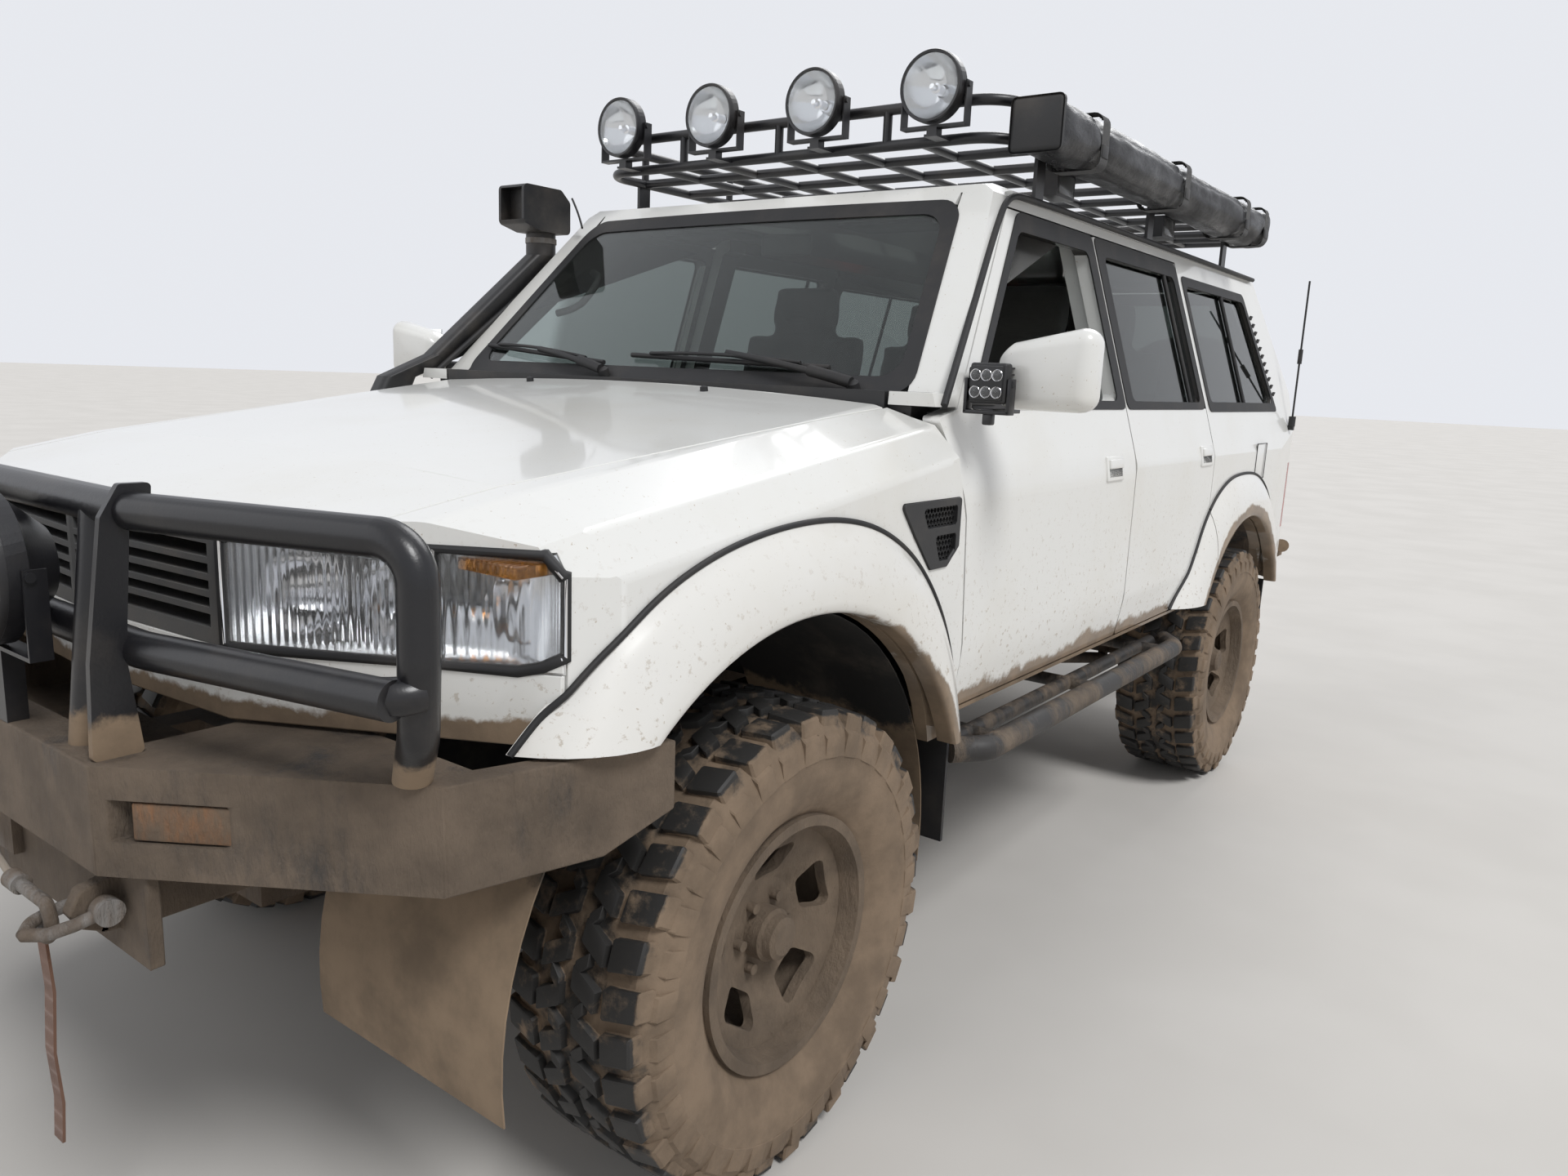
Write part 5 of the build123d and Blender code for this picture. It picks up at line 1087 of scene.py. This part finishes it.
def wiper(name, pivot, middle, ends):
    """A wiper with its arm, spring cover and blade resting on the glass."""
    def lifted(start, end, steps):
        """Points of the screen at shares of the way, each with its own lift."""
        return [on_screen(*(a * (1 - t) + b * t for a, b in zip(start, end)), lift) for t, lift in steps]

    seal(name + "_arm", lifted(pivot, middle, ((0, 0.018), (0.25, 0.045), (1, 0.028))), 0.008)
    cover = [(t, 0.026 + 0.01 * math.sin(t * 6)) for t in (0.0, 0.14, 0.30)]
    seal(name + "_cover", lifted(pivot, middle, cover), 0.0135)
    seal(name + "_blade", lifted(*ends, [(i / 8, 0.010) for i in range(9)]), 0.0065)
    spine = [(t, 0.014 + 0.018 * math.sin(t * math.pi)) for t in (0.12, 0.3, 0.5, 0.7, 0.88)]
    seal(name + "_spine", lifted(*ends, spine), 0.0045)
    turned_piece(name + "_hub", seal_rubber, "black_plastic",
                 [(-0.02, 0.0), (-0.02, 0.017), (0.010, 0.015), (0.016, 0.008), (0.017, 0.0)],
                 on_screen(*pivot, 0.012), (0, -0.4, 0.9), 24)


wiper("driver_wiper", (0.627, 1.436), (0.250, 1.492), ((-0.075, 1.492), (0.540, 1.478)))
wiper("passenger_wiper", (-0.133, 1.442), (-0.430, 1.488), ((-0.716, 1.508), (-0.160, 1.470)))
seal("short_antenna", at([(-0.655, 0.955, 1.885), (-0.700, 0.985, 1.930), (-0.760, 1.010, 1.985)]), 0.0035)
for i, x in enumerate((-0.30, 0.30)):
    turned_piece(f"washer_jet_{i}", seal_rubber, "black_plastic",
                 [(-0.01, 0.0), (-0.01, 0.010), (0.006, 0.009), (0.010, 0.0)], (x, st(0.44), 1.4235), (0, -0.12, 1), 20,
                 body="bonnet")
turned_piece("snorkel_band", worn_steel, "bright_steel",
             [(-0.008, 0.0465), (-0.008, 0.0485), (0.008, 0.0485), (0.008, 0.0465)], (-0.810, st(0.925), 1.846),
             (0, 0, 1), 40)
block_piece("visors_and_mirror", dash_plastic, "dash_plastic",
            (-0.055, 0.120, 1.085, 1.105, 1.795, 1.855, 0.012, 3), (0.20, 0.50, 1.10, 1.26, 1.868, 1.882, 0.006),
            (-0.44, -0.14, 1.10, 1.26, 1.868, 1.882, 0.006))
run("grab_handle", at([(-0.668, 0.868, 1.620), (-0.600, 0.885, 1.632), (-0.585, 0.935, 1.690), (-0.600, 0.990, 1.745),
                       (-0.650, 1.000, 1.752)]), 0.011, dash_plastic)
for side, hand in SIDES:
    block_piece("bumper_lens_" + hand, pocket_lens, "lamp_red",
                (0.500, 0.636, -0.8965, -0.8865, 0.8285, 0.8815, 0.004, 2,
                 Matrix.Rotation(side * math.radians(33.4), 4, "Z")), side=side)

VENT_END = 0.546
CELL = 0.0135
CELL_ROW = CELL * 0.866


def vent_cells(side, hand):
    """Six-sided cells set in the two pockets of a side vent."""
    cells = bmesh.new()
    for low, high, first in ((1.099, 1.153, 0.455), (1.171, 1.212, 0.399)):
        field = bmesh.new()
        for row in range(int((high - low) / CELL_ROW) + 2):
            for column in range(int((VENT_END - first) / CELL) + 2):
                middle = (first + (column + 0.5 * (row % 2)) * CELL, low + row * CELL_ROW, 0)
                place = Matrix.Translation(middle) @ Matrix.Rotation(math.pi / 6, 4, "Z")
                bmesh.ops.create_circle(field, cap_ends=True, segments=6, radius=CELL * 0.5774, matrix=place)
        bmesh.ops.remove_doubles(field, verts=field.verts[:], dist=1e-4)
        slope = Vector((-(high - low), -0.024, 0)).normalized()
        for point, normal in (((0, low, 0), (0, -1, 0)), ((0, high, 0), (0, 1, 0)), ((VENT_END, 0, 0), (1, 0, 0)),
                              ((first, high, 0), slope), ((0.5476, 1.1132, 0), (0.6, -0.8, 0))):
            slice_off(field, point, normal)
        inner = field.faces[:]
        bmesh.ops.inset_individual(field, faces=inner, thickness=0.0013, use_even_offset=True)
        bmesh.ops.delete(field, geom=inner, context="FACES_ONLY")
        bmesh.ops.delete(field, geom=[v for v in field.verts if not v.link_faces], context="VERTS")
        add_to(cells, field)
    for vertex in cells.verts:
        vertex.co = (side * 0.9115, st(vertex.co.x), vertex.co.y)
    face_outward(cells)
    piece("vent_cells_" + hand, thicken(cells, 0.006), black_plastic)
    corner = ((0.5625, 1.134), (0.5596, 1.1252), (0.5556, 1.1192), (0.5476, 1.1132), (0.5316, 1.1012), (0.5236, 1.0952))
    run("vent_corner_" + hand, at([(0.9135, y, z) for y, z in corner], side), 0.0055, black_plastic, "black_plastic")


for side, hand in SIDES:
    vent_cells(side, hand)
block_piece("fuel_flap", white_paint, "body_paint",
            (BODY_SIDE, BODY_SIDE + 0.004, 3.015, 3.150, 1.145, 1.275, 0.0018))
run("fuel_flap_gap", at([(0.9152, y, z) for y, z in ((3.012, 1.142), (3.153, 1.142), (3.153, 1.278), (3.012, 1.278))]),
    0.0022, seal_rubber, closed=True, smooth=False)
for side, hand in SIDES:
    lean = Matrix.Rotation(side * math.radians(17.5), 4, "Y")
    rows = [(z, 3.455 - (z - 1.428) * 0.41) for z in (1.470 + i * 0.030 for i in range(11))]
    block_piece("louvres_" + hand, seal_rubber, "black_plastic",
                *((tumble(z, 0.0002), tumble(z, 0.0058), station - 0.016, station + 0.016, z - 0.009, z + 0.009, 0.002,
                   2, lean) for z, station in rows), side=side)
block_piece("plate_holder", black_plastic, "black_plastic", (-0.26, 0.26, 3.936, 3.944, 0.690, 0.800, 0.002))
block_piece("tail_door_strip", seal_rubber, "black_plastic",
            (-0.156, -0.118, 3.636, 3.643, 1.380, 1.899, 0.002, 2, Matrix.Rotation(math.radians(30.05), 4, "X")),
            body="tail_door_left")
block_piece("tail_handle", black_plastic, "black_plastic", (-0.125, -0.035, 3.800, 3.812, 1.10, 1.16, 0.004, 3),
            body="tail_door_left")


# Camera, light and floor


def studio():
    azimuth, pitch, roll = math.radians(36.06), math.radians(10.95), math.radians(2.44)
    ahead = Vector((-math.sin(azimuth) * math.cos(pitch), math.cos(azimuth) * math.cos(pitch), -math.sin(pitch)))
    right = ahead.cross(Vector((0, 0, 1))).normalized()
    up = right.cross(ahead)
    tilted_right = right * math.cos(roll) + up * math.sin(roll)
    tilted_up = up * math.cos(roll) - right * math.sin(roll)
    lens = bpy.data.cameras.new("photo_camera")
    lens.sensor_width = 36
    lens.lens = 25.31
    lens.clip_end = 200
    camera = placed("photo_camera", lens)
    turn = Matrix((tilted_right, tilted_up, -ahead)).transposed().to_4x4()
    camera.matrix_world = Matrix.Translation((1.988, st(-1.531), 1.465)) @ turn
    bpy.context.scene.camera = camera
    for name, place, aim, power, size in (
        ("key", (5.0, -2.0, 7.5), (0, -0.4, 0.8), 2.0, 0.35),
        ("fill", (-4.5, -6.0, 4.0), (0, -0.4, 0.9), 0.45, 1.0),
        ("rim", (-1.5, 6.5, 6.0), (0, 0.5, 1.2), 1.1, 0.6),
    ):
        lamp = bpy.data.lights.new(name, "SUN")
        lamp.energy = power
        lamp.angle = size
        holder = placed(name, lamp)
        holder.location = place
        holder.rotation_euler = (Vector(aim) - Vector(place)).to_track_quat("-Z", "Y").to_euler()
    bm = bmesh.new()
    bmesh.ops.create_grid(bm, x_segments=1, y_segments=1, size=90)
    floor = placed("floor", stored("floor", bm))
    pale = Finish("pale_floor", (0.62, 0.60, 0.57), 0.9)
    pale.put("Base Color", pale.blend(pale.span(pale.grain(1.2, 3.0), 0.3, 0.7), pale.color, (0.58, 0.56, 0.53)))
    floor.data.materials.append(pale.material)
    world = bpy.data.worlds.new("studio")
    world.use_nodes = True
    tree = world.node_tree
    rays = shader_node(tree, "ShaderNodeLightPath").outputs
    bright = rays["Is Camera Ray"]
    for kind in ("Is Transmission Ray", "Is Glossy Ray"):
        bright = shader_node(tree, "ShaderNodeMath", {0: bright, 1: rays[kind]}, operation="MAXIMUM").outputs[0]
    level = shader_node(tree, "ShaderNodeMapRange", {0: bright, 3: 0.38, 4: 0.86})
    shade = tree.nodes["Background"].inputs
    feed(tree, shade[0], (0.93, 0.95, 1.0, 1))
    feed(tree, shade[1], level.outputs[0])
    bpy.context.scene.world = world


studio()
bpy.context.scene.view_settings.view_transform = "Standard"
